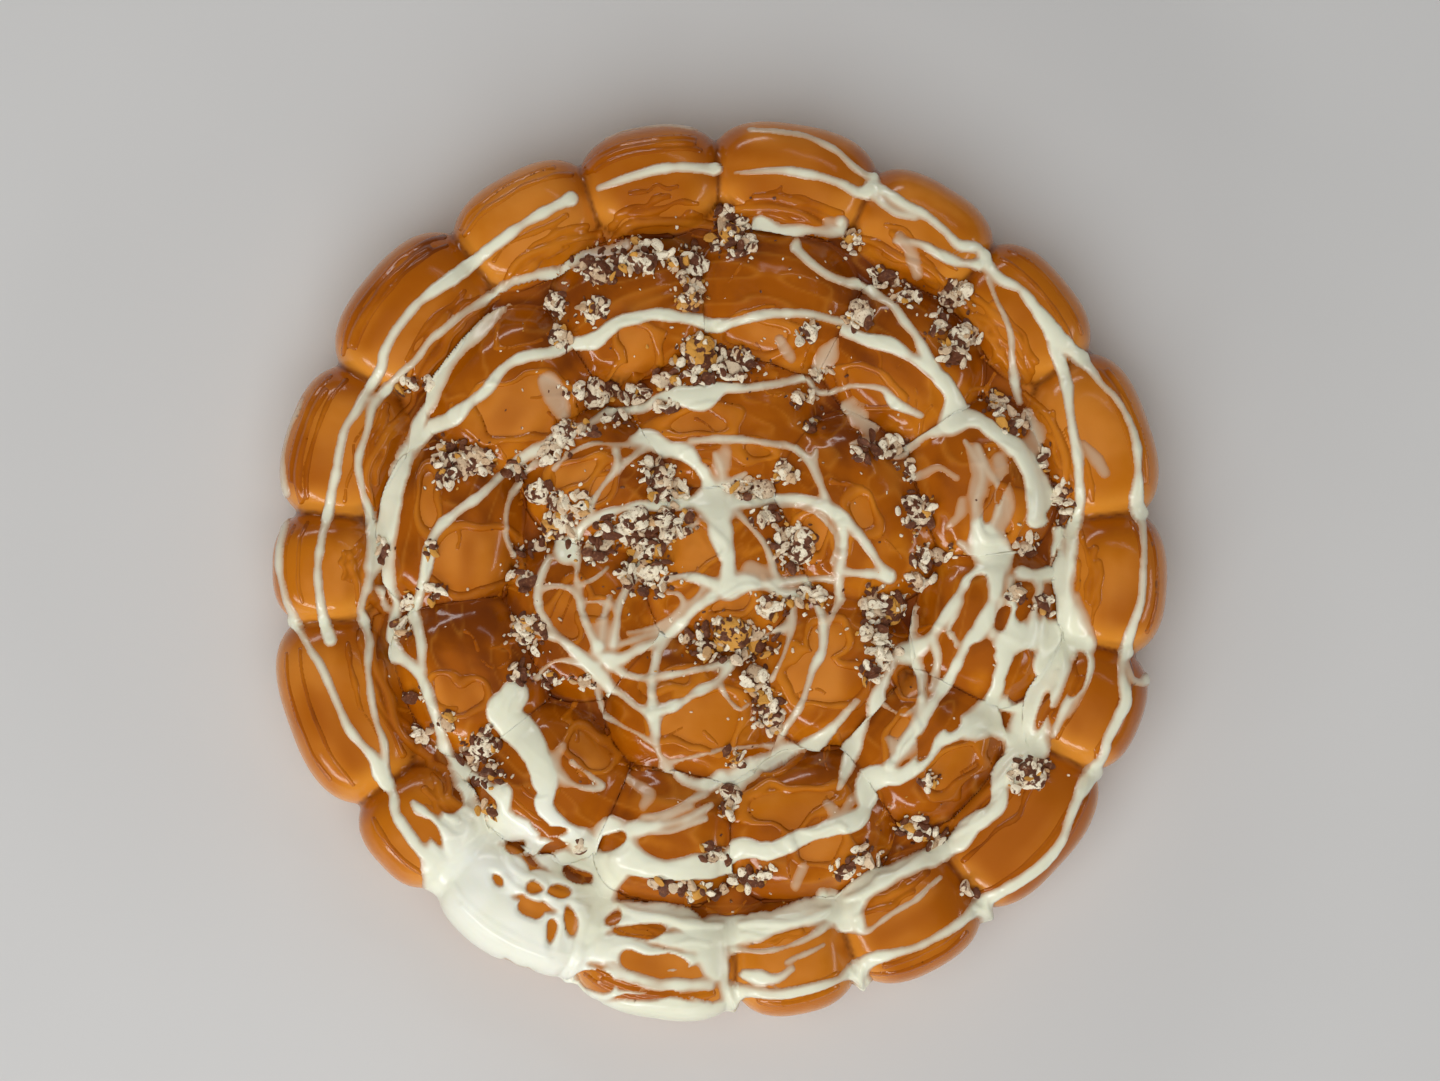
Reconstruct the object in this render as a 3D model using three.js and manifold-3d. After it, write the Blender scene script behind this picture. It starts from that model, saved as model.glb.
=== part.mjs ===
// A round pull-apart honeycomb bun: 37 dough balls baked together in rings of 1, 6, 12 and 18, with chopped
// pecans in the seams and thick white icing drizzled over the top.
// Millimetres, +Z up, the origin on the table under the middle of the loaf. Angles are in degrees,
// counterclockwise from +X as seen from above.

import * as THREE from "three";
import { mergeVertices } from "three/addons/utils/BufferGeometryUtils.js";
import Module from "manifold-3d";

// The dough
const LOAF_RADIUS = 150.5; // how far the outer buns reach, on average
const EQUATOR_HEIGHT = 17; // height at which a bun is widest
const BUN_RISE = 28; // from the equator to the top of an outer bun
const CROWN = 2.5; // how much higher the middle of the loaf has risen
const BUN_DROP = 30; // the lower half's full depth, cut off flat by the tin
const RISE_SPREAD = 1.4; // buns differ in height by this much either way
const PRESSED = 1.18; // a bun's free half width over its half width between seams
const PLAN_POWER = 2.6; // squareness of a bun seen from above
const SIDE_POWER = 3.0; // squareness of a bun seen from the side
const AROUND = 13; // facets round an outer bun
const AROUND_INNER = 11; // and round one that other buns enclose
const UP_AND_DOWN = 7; // facets from its top to its bottom
const CORE = { radius: 127, height: 34 }; // dough grown together under the seams
const CORE_FACETS = 48;

// Each ring lies between two radii, and its seams are the creases between its buns. Each outer bun has a reach
// of its own.
const RINGS = [
  { from: -25.5, to: 25.5, seams: [-180, 180] },
  { from: 25.5, to: 69, seams: [-13, 57, 121, 170, 229, 289] },
  { from: 69, to: 110, seams: [3, 33, 63, 94, 124, 156, 188, 218, 246, 272, 304, 333] },
  {
    from: 110,
    seams: [
      7.5, 30, 49.5, 68.5, 90.5, 109.5, 129.3, 152, 172.5, 188, 213, 228.6, 250, 272, 288.7, 307.5, 331, 348,
    ],
    reaches: [
      151.3, 149.8, 148.4, 150.4, 149, 149.6, 152.9, 152.1, 150, 154, 151.4, 149.6, 151.6, 152.1, 152.7,
      151.4, 149.7, 149.4,
    ],
  },
];

// The icing
const ICING_HEIGHT = 1.9; // crown of a strand above the crust
const ICING_SUNK = 2.2; // how deep its foot is in the dough
const ICING_STEP = 12; // between sections along a strand
const ICING_SAG = 0.35; // how far a strand sags between two steps where it bridges a seam
const ICING_DEEPEST = 6; // its foot is at most this far under its top
const ICING_LEAN = 0.7; // a strand stands on no steeper slope than this
// Each strand has a width and its route as [angle, radius] knots.
const STRANDS = [
  { width: 4.5, route: [
    [112.6, 132.2], [131, 131.6], [145, 132.7], [160, 132.2], [172, 130.5], [185, 133.3], [193, 134.9],
    [203, 134.4], [211, 129.4], [217, 133.3], [226, 138.8],
  ] },
  { width: 7, route: [[158, 108.6], [166, 109], [176, 112.5]] },
  { width: 4.5, route: [[180, 109], [190, 109], [199, 105.1], [207, 104.6], [215, 109], [224, 114.4]] },
  { width: 4.4, route: [
    [163, 105.1], [148, 100.7], [134, 94.9], [119, 86.6], [103, 84.6], [90, 79.7], [76, 85.6], [61, 88],
  ] },
  { width: 5.5, route: [[61, 87.5], [50, 91], [42, 95.8], [35, 92.4], [29, 97.3], [21, 106.6]] },
  { width: 8.5, route: [[23, 106.6], [16, 107.1], [9.5, 104.6]] },
  { width: 4.2, route: [[108, 131.4], [99, 133.3], [91.5, 131.4]] },
  { width: 5, route: [
    [88, 130.5], [78, 132.7], [67.5, 133.8], [57, 134.4], [48, 133.3], [40, 135.3], [30, 137.2],
    [20, 144.4], [11, 142.7], [4, 141.1], [-6, 139.4], [-12, 137.7],
  ] },
  { width: 5, route: [
    [-12, 137.7], [-19, 141.6], [-30, 141.6], [-40, 146.4], [-52, 142.7], [-62, 142.2], [-71, 141.1],
    [-80, 144.4], [-90, 142.7],
  ] },
  { width: 6.5, route: [[33, 132.2], [28, 128.2], [19, 123.8], [9, 118.3], [-3, 113.4], [-10, 115.9]] },
  { width: 11, route: [[-8, 114.4], [-20, 112], [-31, 114.9]] },
  { width: 7.5, route: [
    [-29, 114.4], [-41, 114.9], [-50, 119.3], [-61, 114.4], [-70, 118.8], [-80, 117.8], [-91, 120.3],
  ] },
  { width: 7.5, route: [[-10, 98.3], [-22, 98.3], [-35, 97.3], [-47, 94.4], [-56, 89.5]] },
  { width: 8, route: [[-54, 90], [-66, 93.4], [-78, 95.4], [-92, 99.3], [-108, 101.7]] },
  { width: 12, route: [[-91, 121.3], [-100, 116.4], [-112, 113.4], [-124, 116.4], [-135, 120.3]] },
  { width: 12, route: [[-101, 132.2], [-110, 128.8], [-121, 128.8], [-132, 129.9]] },
  { width: 13, route: [[-106, 142.2], [-116, 142.2], [-127, 141.1], [-136, 135.5]] },
  { width: 8, route: [[-88, 144.4], [-97, 144.4], [-108, 146.7]] },
  { width: 8, route: [[-149, 78.2], [-142, 86.1], [-133, 96.8], [-128, 105.6], [-122, 115.4]] },
  { width: 4.4, route: [[83, 56.2], [98, 54.3], [112, 58.7], [128, 63.1]] },
  { width: 4.2, route: [[-153, 50.9], [-132, 48.9], [-117, 52.8], [-104, 46.9], [-80, 43]] },
  { width: 4.5, route: [[-88, 68.5], [-74, 64.5], [-62, 63.6], [-52, 58.7]] },
];

// Icing that runs over the edge in a seam: where, and how wide the drop at its end is
const DRIPS = [
  { angle: -15.5, width: 6 },
  { angle: -52.5, width: 7 },
  { angle: -71.2, width: 6 },
  { angle: -89.5, width: 7 },
  { angle: -110, width: 12 },
  { angle: 171, width: 5 },
];
const DRIP_START_RADIUS = 140.3;
const DRIP_ELEVATIONS = [52, 30, 8]; // directions of a drip's knots, seen from inside the outer ring

// Chopped pecans: [angle, radius, length] of each large piece
const PECANS = [
  [87.5, 108.2, 16], [95.7, 99.3, 15], [97, 88, 12.5], [95.5, 69.9, 20], [84, 68, 13],
  [105, 103.3, 14], [112, 103.7, 13], [121.6, 101.7, 13], [115.5, 93.9, 12], [125.5, 91.4, 12],
  [126.5, 70.4, 15], [139.5, 67, 13], [157, 89, 16], [157.5, 64.1, 12], [167, 55.7, 15],
  [150, 31.8, 15], [124, 35.2, 14], [-77, 21.5, 19], [13.5, 27.4, 17], [61, 28.4, 13],
  [16.2, 66.5, 14], [-14, 56.7, 16], [-71, 50.4, 14], [-87, 75.3, 14], [-161.5, 67.5, 13],
  [-143, 96.8, 14], [49.7, 116.4, 12], [43.4, 107.6, 14], [-34, 122.7, 15], [61, 94.4, 14],
];
const SMALL_PECANS = [
  [209, 110.5, 10], [202, 107.6, 9], [-97, 106.9, 12], [-86, 103.2, 12], [-63, 106.1, 11],
  [-53, 108.1, 11], [33, 102.7, 10], [26, 105.1, 10], [58, 108.1, 10], [35.3, 66.1, 11],
  [4, 101.7, 10], [1.6, 71.4, 10], [-13, 34.2, 11],
];
const PECAN_SHAPE = [1, 0.8, 0.62]; // length, width and height of a piece over its length
const PECAN_SUNK = 0.32; // share of its length that lies below the crust
const CLEARANCE = 0.3; // air between a loose piece and what it lies on

const RANDOM_SEED = 37;

// Draws numbers from 0 to 1, the same ones each time for a seed.
function randomFrom(seed) {
  let state = seed >>> 0;
  return () => {
    state = (state + 0x6d2b79f5) >>> 0;
    let mixed = Math.imul(state ^ (state >>> 15), state | 1);
    mixed ^= mixed + Math.imul(mixed ^ (mixed >>> 7), mixed | 61);
    return ((mixed ^ (mixed >>> 14)) >>> 0) / 4294967296;
  };
}

const polar = (angle, radius) =>
  new THREE.Vector2(
    radius * Math.cos(THREE.MathUtils.degToRad(angle)),
    radius * Math.sin(THREE.MathUtils.degToRad(angle)),
  );

// One entry for each bun: its middle, the direction of its ring's radius, and its free half sizes.
function layOutBuns() {
  const random = randomFrom(RANDOM_SEED);
  const buns = [];
  for (const { from, to, seams, reaches } of RINGS) {
    const count = seams.length === 2 ? 1 : seams.length;
    for (let i = 0; i < count; i++) {
      const start = seams[i];
      const end = i + 1 < seams.length ? seams[i + 1] : seams[0] + 360;
      const angle = (start + end) / 2;
      const edge = reaches ? reaches[i] : to;
      const middle = (from + edge) / 2;
      const halfAcross = count === 1 ? edge : middle * THREE.MathUtils.degToRad((end - start) / 2);
      buns.push({
        centre: polar(angle, middle),
        angle: THREE.MathUtils.degToRad(angle),
        outer: Boolean(reaches),
        radial: ((edge - from) / 2) * (reaches ? 1 : PRESSED),
        across: halfAcross * PRESSED,
        rise:
          BUN_RISE + CROWN * (1 - (middle / LOAF_RADIUS) ** 2) + RISE_SPREAD * (2 * random() - 1),
      });
    }
  }
  return buns;
}

// Under 1 inside a bun, 1 on its surface. The point is relative to the bun's middle, in its own directions.
function bunLevel(bun, along, across, up) {
  const plan =
    Math.abs(along / bun.radial) ** PLAN_POWER + Math.abs(across / bun.across) ** PLAN_POWER;
  const side = Math.abs(up / (up > 0 ? bun.rise : BUN_DROP)) ** SIDE_POWER;
  return (plan ** (SIDE_POWER / PLAN_POWER) + side) ** (1 / SIDE_POWER);
}

function toBun(bun, x, y) {
  const dx = x - bun.centre.x;
  const dy = y - bun.centre.y;
  const c = Math.cos(bun.angle);
  const s = Math.sin(bun.angle);
  return [dx * c + dy * s, dy * c - dx * s];
}

// The crust's height over a point of the table
function crustHeight(buns, x, y) {
  let height = Math.hypot(x, y) < CORE.radius ? CORE.height : 0;
  for (const bun of buns) {
    const [along, across] = toBun(bun, x, y);
    const reach = bunLevel(bun, along, across, 0);
    if (reach < 1) {
      const rise = bun.rise * (1 - reach ** SIDE_POWER) ** (1 / SIDE_POWER);
      height = Math.max(height, EQUATOR_HEIGHT + rise);
    }
  }
  return height;
}

function crustNormal(buns, x, y) {
  const reach = 4;
  const slope = new THREE.Vector2(
    crustHeight(buns, x + reach, y) - crustHeight(buns, x - reach, y),
    crustHeight(buns, x, y + reach) - crustHeight(buns, x, y - reach),
  )
    .divideScalar(2 * reach)
    .clampLength(0, ICING_LEAN);
  return new THREE.Vector3(-slope.x, -slope.y, 1).normalize();
}

// The point of the outer edge that lies in a direction, seen from inside the outer ring at the widest level
function edgePoint(buns, angle, elevation) {
  const origin = polar(angle, RINGS[3].from);
  const out = polar(angle, Math.cos(THREE.MathUtils.degToRad(elevation)));
  const up = Math.sin(THREE.MathUtils.degToRad(elevation));
  let inside = 0;
  let outside = 80;
  for (let i = 0; i < 30; i++) {
    const t = (inside + outside) / 2;
    const covered = buns.some(
      (bun) => bunLevel(bun, ...toBun(bun, origin.x + out.x * t, origin.y + out.y * t), up * t) < 1,
    );
    if (covered) inside = t;
    else outside = t;
  }
  const plan = origin.addScaledVector(out, inside);
  return new THREE.Vector3(plan.x, plan.y, EQUATOR_HEIGHT + up * inside);
}

const wasm = await Module();
wasm.setup();

function solidFrom(geometry) {
  const bare = geometry.clone();
  bare.deleteAttribute("normal");
  bare.deleteAttribute("uv");
  const merged = mergeVertices(bare, 1e-4);
  return new wasm.Manifold(
    new wasm.Mesh({
      numProp: 3,
      vertProperties: new Float32Array(merged.attributes.position.array),
      triVerts: new Uint32Array(merged.index.array),
    }),
  );
}

function geometryFrom(solid) {
  const { numProp, vertProperties, triVerts } = solid.getMesh();
  const geometry = new THREE.BufferGeometry();
  const buffer = new THREE.InterleavedBuffer(new Float32Array(vertProperties), numProp);
  geometry.setAttribute("position", new THREE.InterleavedBufferAttribute(buffer, 3, 0));
  geometry.setIndex(new THREE.BufferAttribute(new Uint32Array(triVerts), 1));
  const plain = geometry.toNonIndexed();
  plain.computeVertexNormals();
  return plain;
}

// One dough ball, grown by a little on every side where clearance is asked for
function bunSolid(bun, grow = 0) {
  const around = bun.outer ? AROUND : AROUND_INNER;
  const geometry = new THREE.SphereGeometry(1, around, UP_AND_DOWN).rotateX(Math.PI / 2);
  const grown = { ...bun, radial: bun.radial + grow, across: bun.across + grow, rise: bun.rise + grow };
  const position = geometry.attributes.position;
  for (let i = 0; i < position.count; i++) {
    const [x, y, z] = [position.getX(i), position.getY(i), position.getZ(i)];
    const scale = 1 / bunLevel(grown, x, y, z);
    position.setXYZ(i, x * scale, y * scale, z * scale);
  }
  geometry.rotateZ(bun.angle).translate(bun.centre.x, bun.centre.y, EQUATOR_HEIGHT);
  return solidFrom(geometry);
}

const coreSolid = (grow = 0) =>
  solidFrom(
    new THREE.CylinderGeometry(CORE.radius, CORE.radius, CORE.height + grow, CORE_FACETS)
      .rotateX(Math.PI / 2)
      .translate(0, 0, (CORE.height + grow) / 2),
  );

// The dough balls and what has grown together between them, cut flat by the tin
function loafSolid(buns, grow = 0) {
  const whole = wasm.Manifold.union([coreSolid(grow), ...buns.map((bun) => bunSolid(bun, grow))]);
  const table = solidFrom(new THREE.BoxGeometry(400, 400, 60).translate(0, 0, -30));
  return whole.subtract(table);
}

// A closed ribbon through sections of equal size, each a loop of points
function ribbonSolid(sections) {
  const size = sections[0].length;
  const points = sections.flat();
  const triangles = [];
  for (let i = 0; i + 1 < sections.length; i++)
    for (let j = 0; j < size; j++) {
      const a = i * size + j;
      const b = i * size + ((j + 1) % size);
      triangles.push(a, b, b + size, a, b + size, a + size);
    }
  const last = points.length - size;
  for (let j = 1; j + 1 < size; j++) {
    triangles.push(0, j + 1, j);
    triangles.push(last, last + j, last + j + 1);
  }
  const geometry = new THREE.BufferGeometry().setFromPoints(points);
  geometry.setIndex(triangles);
  return solidFrom(geometry);
}

// The loop of a strand's section: a low crown, and a foot sunk in the dough
function iceSection(foot, top, side, normal, width) {
  const at = (base, across, up) =>
    base.clone().addScaledVector(side, across * width).addScaledVector(normal, up);
  return [
    at(foot, 0.6, -ICING_SUNK),
    at(top, 0.3, ICING_HEIGHT),
    at(top, -0.3, ICING_HEIGHT),
    at(foot, -0.6, -ICING_SUNK),
  ];
}

// A strand lies on the crust, and hangs across a seam as a slack string would.
function strandSolid(buns, { width, route }) {
  const curve = new THREE.CatmullRomCurve3(
    route.map(([angle, radius]) => {
      const p = polar(angle, radius);
      return new THREE.Vector3(p.x, p.y, 0);
    }),
    false,
    "centripetal",
  );
  const steps = Math.max(3, Math.round(curve.getLength() / ICING_STEP));
  const plan = curve.getSpacedPoints(steps);
  const crust = plan.map((p) => crustHeight(buns, p.x, p.y));
  // Where the crust falls away beside a strand, as past the rim in a seam, the strand holds on higher up.
  const draped = crust.map((height, i) => {
    const beside = Math.max(crust[Math.max(i - 1, 0)], crust[Math.min(i + 1, steps)]);
    return Math.max(height, beside - ICING_DEEPEST);
  });
  for (let round = 0; round < 40; round++)
    for (let i = 1; i < steps; i++)
      draped[i] = Math.max(draped[i], (draped[i - 1] + draped[i + 1]) / 2 - ICING_SAG);
  const sections = plan.map((p, i) => {
    const forward = plan[Math.min(i + 1, steps)].clone().sub(plan[Math.max(i - 1, 0)]).normalize();
    const normal = crustNormal(buns, p.x, p.y);
    const side = new THREE.Vector3().crossVectors(normal, forward).normalize();
    const foot = new THREE.Vector3(p.x, p.y, Math.max(crust[i], draped[i] - ICING_DEEPEST));
    const top = new THREE.Vector3(p.x, p.y, draped[i]);
    const taper = i === 0 || i === steps ? 0.6 : 1;
    return iceSection(foot, top, side, normal, width * taper);
  });
  return ribbonSolid(sections);
}

// Icing that runs down over the edge and ends in a round drop
function dripSolid(buns, { angle, width }) {
  const start = polar(angle, DRIP_START_RADIUS);
  const route = [
    new THREE.Vector3(start.x, start.y, crustHeight(buns, start.x, start.y)),
    ...DRIP_ELEVATIONS.map((elevation) => edgePoint(buns, angle, elevation)),
  ];
  const out = new THREE.Vector3(...polar(angle, 1).toArray(), 0);
  const side = new THREE.Vector3(-out.y, out.x, 0);
  const sections = route.map((p, i) => {
    const normal = new THREE.Vector3(0, 0, 1).lerp(out, i / (route.length - 1)).normalize();
    return iceSection(p, p, side, normal, width * 0.7);
  });
  const drop = new THREE.SphereGeometry(width / 2, 8, 6).translate(...route.at(-1).toArray());
  return ribbonSolid(sections).add(solidFrom(drop));
}

// A chopped piece: a few flat faces with uneven corners, lying in the crust
function pecanSolid(buns, [angle, radius, length], detail, random, grow = 0) {
  const geometry = mergeVertices(
    new THREE.IcosahedronGeometry(1, detail).deleteAttribute("normal").deleteAttribute("uv"),
    1e-3,
  );
  const position = geometry.attributes.position;
  for (let i = 0; i < position.count; i++) {
    const uneven = 0.8 + 0.35 * random();
    const scale = PECAN_SHAPE.map((share) => (share * length * uneven) / 2 + grow);
    position.setXYZ(i, position.getX(i) * scale[0], position.getY(i) * scale[1], position.getZ(i) * scale[2]);
  }
  const middle = polar(angle, radius);
  const height = crustHeight(buns, middle.x, middle.y);
  const seat = Math.max(height, crustRim(buns, middle, length / 3));
  geometry.rotateX((random() - 0.5) * 0.6).rotateZ(random() * 2 * Math.PI);
  geometry.translate(middle.x, middle.y, seat + length * (PECAN_SHAPE[2] / 2 - PECAN_SUNK));
  return solidFrom(geometry);
}

// The mean height of the crust on a small circle, on which a piece that is wider than a seam rests
function crustRim(buns, middle, radius) {
  const around = 8;
  let sum = 0;
  for (let i = 0; i < around; i++) {
    const turn = (2 * Math.PI * i) / around;
    sum += crustHeight(buns, middle.x + radius * Math.cos(turn), middle.y + radius * Math.sin(turn));
  }
  return sum / around;
}

const buns = layOutBuns();
const loaf = loafSolid(buns);
const loafClearance = loafSolid(buns, CLEARANCE);

const pieceSeed = (index) => randomFrom(RANDOM_SEED * 100 + index);
const largePieces = PECANS.map((piece, i) =>
  pecanSolid(buns, piece, 0, pieceSeed(i)).subtract(loafClearance),
);
const largeClearance = wasm.Manifold.union(
  PECANS.map((piece, i) => pecanSolid(buns, piece, 0, pieceSeed(i), CLEARANCE)),
);
const smallPieces = SMALL_PECANS.map((piece, i) => pecanSolid(buns, piece, 0, pieceSeed(i + PECANS.length)));
const icing = [...STRANDS.map((s) => strandSolid(buns, s)), ...DRIPS.map((d) => dripSolid(buns, d))];
const toppings = wasm.Manifold.union([...icing, ...smallPieces]).subtract(largeClearance);

const crumb = new THREE.MeshStandardMaterial({ color: 0xc27428, roughness: 0.35, metalness: 0 });
const nut = new THREE.MeshStandardMaterial({ color: 0x9a6a48, roughness: 0.7, metalness: 0 });

function largestBody(solid) {
  return solid.decompose().sort((a, b) => b.volume() - a.volume())[0];
}

const honeycombBun = new THREE.Group();

const bread = new THREE.Mesh(geometryFrom(largestBody(loaf.add(toppings))), crumb);
bread.name = "bread";
honeycombBun.add(bread);

largePieces.forEach((piece, i) => {
  const pecan = new THREE.Mesh(geometryFrom(largestBody(piece)), nut);
  pecan.name = `pecan_${String(i + 1).padStart(2, "0")}`;
  honeycombBun.add(pecan);
});

export default honeycombBun;
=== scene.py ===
# The look of a round pull-apart honeycomb bun: glazed crust, caramel, icing and chopped pecans.
# Sizes are in millimetres until a mesh is made. Places on the loaf are given as the camera sees them, on the
# level of the loaf's widest line: as x and y from its middle, or as an angle (degrees, counterclockwise from
# +X) and a radius.

import math

import bpy
import numpy as np
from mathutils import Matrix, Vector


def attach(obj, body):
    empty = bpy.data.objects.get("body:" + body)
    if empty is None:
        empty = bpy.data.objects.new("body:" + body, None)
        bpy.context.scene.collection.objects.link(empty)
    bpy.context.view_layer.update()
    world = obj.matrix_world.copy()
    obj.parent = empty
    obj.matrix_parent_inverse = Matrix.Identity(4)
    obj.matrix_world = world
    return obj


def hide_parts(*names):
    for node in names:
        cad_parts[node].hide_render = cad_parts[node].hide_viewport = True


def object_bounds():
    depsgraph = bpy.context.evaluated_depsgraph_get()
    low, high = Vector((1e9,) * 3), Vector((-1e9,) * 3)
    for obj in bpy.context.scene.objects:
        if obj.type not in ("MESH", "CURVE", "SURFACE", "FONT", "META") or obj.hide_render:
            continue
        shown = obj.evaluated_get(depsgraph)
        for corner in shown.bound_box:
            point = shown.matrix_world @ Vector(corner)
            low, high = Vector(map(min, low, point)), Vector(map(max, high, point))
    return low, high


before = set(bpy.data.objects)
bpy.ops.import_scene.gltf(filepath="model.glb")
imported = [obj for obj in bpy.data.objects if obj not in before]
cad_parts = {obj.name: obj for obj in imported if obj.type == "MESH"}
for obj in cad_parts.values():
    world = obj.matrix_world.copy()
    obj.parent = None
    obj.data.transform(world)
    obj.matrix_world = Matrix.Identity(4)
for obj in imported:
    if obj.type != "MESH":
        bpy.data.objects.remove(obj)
CAD_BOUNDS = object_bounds()

MM = 0.001
SEED = 37
HEADROOM = 0.05  # kept free under the top of the solids
TOP_MOST = CAD_BOUNDS[1][2] / MM - HEADROOM

# The camera looks straight down at a point a little past the loaf's middle.
PHOTO_WIDTH = 482.7  # seen across the picture at the height of the loaf's widest line
LENS = 85.0
SENSOR = 36.0
CAMERA_X, CAMERA_Y = -0.2, 8.7
EQUATOR = 17.0
CAMERA_Z = EQUATOR + PHOTO_WIDTH * LENS / SENSOR

# The dough, as in the solids. Seams are angles, ring by ring. A reach is how far out an outer bun comes.
BUN_RISE = 28.0
CROWN = 2.5  # how much higher the middle stands than the rim
CROWN_REACH = 150.5
BUN_DROP = 30.0
RISE_SPREAD = 1.4
PRESSED = 1.18
PLAN_POWER = 2.6
SIDE_POWER = 3.0
CORE_HEIGHT = 34.0
RING_EDGES = (0.0, 25.5, 69.0, 110.0)
SEAMS = (
    [-180.0],
    [-13.0, 57.0, 121.0, 170.0, 229.0, 289.0],
    [3.0, 33.0, 63.0, 94.0, 124.0, 156.0, 188.0, 218.0, 246.0, 272.0, 304.0, 333.0],
    [
        7.5, 30.0, 49.5, 68.5, 90.5, 109.5, 129.3, 152.0, 172.5, 188.0, 213.0, 228.6,
        250.0, 272.0, 288.7, 307.5, 331.0, 348.0,
    ],
)
REACHES = [
    151.3, 149.8, 148.4, 150.4, 149.0, 149.6, 152.9, 152.1, 150.0,
    154.0, 151.4, 149.6, 151.6, 152.1, 152.7, 151.4, 149.7, 149.4,
]

# The surface is unrolled onto a disc. Inside the rim it is read from above, and past it round the outer buns,
# on rays that turn down as they go out.
RIM = 126.0
FAN = 24.0  # millimetres of the disc for each radian


def past_rim(turn):
    """The radius on the disc where the rays have turned down by so many radians"""
    return RIM + FAN * turn


UNROLLED = past_rim(2.33)
SHOULDER = past_rim(1.05)  # past this the side is unrolled on from its edge
CORE_FADE = 6.0
BUN_SIDE = 0.42  # radians from its middle in which a ray can meet an outer bun
LONGEST_RAY = 45.0
STRIDE = 1.5
HALVINGS = 12
LEVEL = 1e-3  # a ray that turns down less than this never meets the table
GRID_STEP = 0.6
BLEND = 0.8  # how softly buns run into each other


def clamp(value, low=0.0, high=1.0):
    return np.clip(value, low, high)


def smooth(low, high, value):
    """Rises softly from 0 at low to 1 at high, or falls where low is the larger"""
    t = clamp((value - low) / (high - low))
    return t * t * (3 - 2 * t)


LATTICES = {}
LATTICE_SIZE = 512
LATTICE_MIDDLE = 200.0


def noise(x, y, scale, seed):
    """Smooth random values from -1 to 1 that change over about scale millimetres."""
    size = LATTICE_SIZE
    if seed not in LATTICES:
        LATTICES[seed] = np.random.default_rng(SEED * 1000 + seed).uniform(-1, 1, (size, size))
    lattice = LATTICES[seed]
    u = np.asarray(x) / scale + LATTICE_MIDDLE
    v = np.asarray(y) / scale + LATTICE_MIDDLE
    i = np.floor(u).astype(int)
    j = np.floor(v).astype(int)
    fu = smooth(0, 1, u - i)
    fv = smooth(0, 1, v - j)
    i0, i1, j0, j1 = i % size, (i + 1) % size, j % size, (j + 1) % size
    low = lattice[i0, j0] * (1 - fu) + lattice[i1, j0] * fu
    high = lattice[i0, j1] * (1 - fu) + lattice[i1, j1] * fu
    return low * (1 - fv) + high * fv


LAYERS = ((0.57, 1.0), (0.29, 2.1), (0.14, 4.3))  # the share of each layer, and how much finer it is


def layered_noise(x, y, scale, seed):
    return sum(share * noise(x, y, scale / finer, seed + k) for k, (share, finer) in enumerate(LAYERS))


def ring_noise(angle, radius, along, across, seed):
    """Noise drawn out round the loaf: its features are along degrees long and across millimetres wide."""
    one = noise(angle * across / along, radius, across, seed)
    other = noise((angle % 360) * across / along + 500, radius, across, seed)
    share = smooth(-0.5, 0.5, np.cos(np.radians(angle)))
    return one * share + other * (1 - share)


WORD = 0xFFFFFFFF
MULBERRY = 0x6D2B79F5


def solids_random(state):
    """The random numbers from 0 to 1 that the solids are made with (mulberry32)"""
    while True:
        state = (state + MULBERRY) & WORD
        mixed = ((state ^ (state >> 15)) * (state | 1)) & WORD
        mixed ^= (mixed + (((mixed ^ (mixed >> 7)) * (mixed | 61)) & WORD)) & WORD
        yield ((mixed ^ (mixed >> 14)) & WORD) / (WORD + 1)


def spans(seams):
    """Where each bun of a ring begins and ends, in degrees"""
    return list(zip(seams, [*seams[1:], seams[0] + 360]))


def lay_out_buns():
    """One entry for each bun, as in the solids"""
    drawn = solids_random(SEED)
    buns = []
    for ring, seams in enumerate(SEAMS):
        for i, (start, end) in enumerate(spans(seams)):
            outer = ring == 3
            low = RING_EDGES[ring] if ring else -RING_EDGES[1]
            high = REACHES[i] if outer else RING_EDGES[ring + 1]
            middle = (low + high) / 2
            angle = math.radians((start + end) / 2)
            half_across = middle * math.radians((end - start) / 2) if ring else high
            crown = CROWN * (1 - (middle / CROWN_REACH) ** 2)
            buns.append(
                {
                    "x": middle * math.cos(angle),
                    "y": middle * math.sin(angle),
                    "angle": angle,
                    "outer": outer,
                    "radial": (high - low) / 2 * (1 if outer else PRESSED),
                    "across": half_across * PRESSED,
                    "rise": BUN_RISE + crown + RISE_SPREAD * (2 * next(drawn) - 1),
                }
            )
    return buns


def plan_level(bun, x, y):
    """How far out in the bun's outline a point is: 0 in its middle and 1 on the outline"""
    dx = x - bun["x"]
    dy = y - bun["y"]
    c = math.cos(bun["angle"])
    s = math.sin(bun["angle"])
    along = np.abs(dx * c + dy * s) / bun["radial"]
    across = np.abs(dy * c - dx * s) / bun["across"]
    return (along**PLAN_POWER + across**PLAN_POWER) ** (1 / PLAN_POWER)


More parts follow.
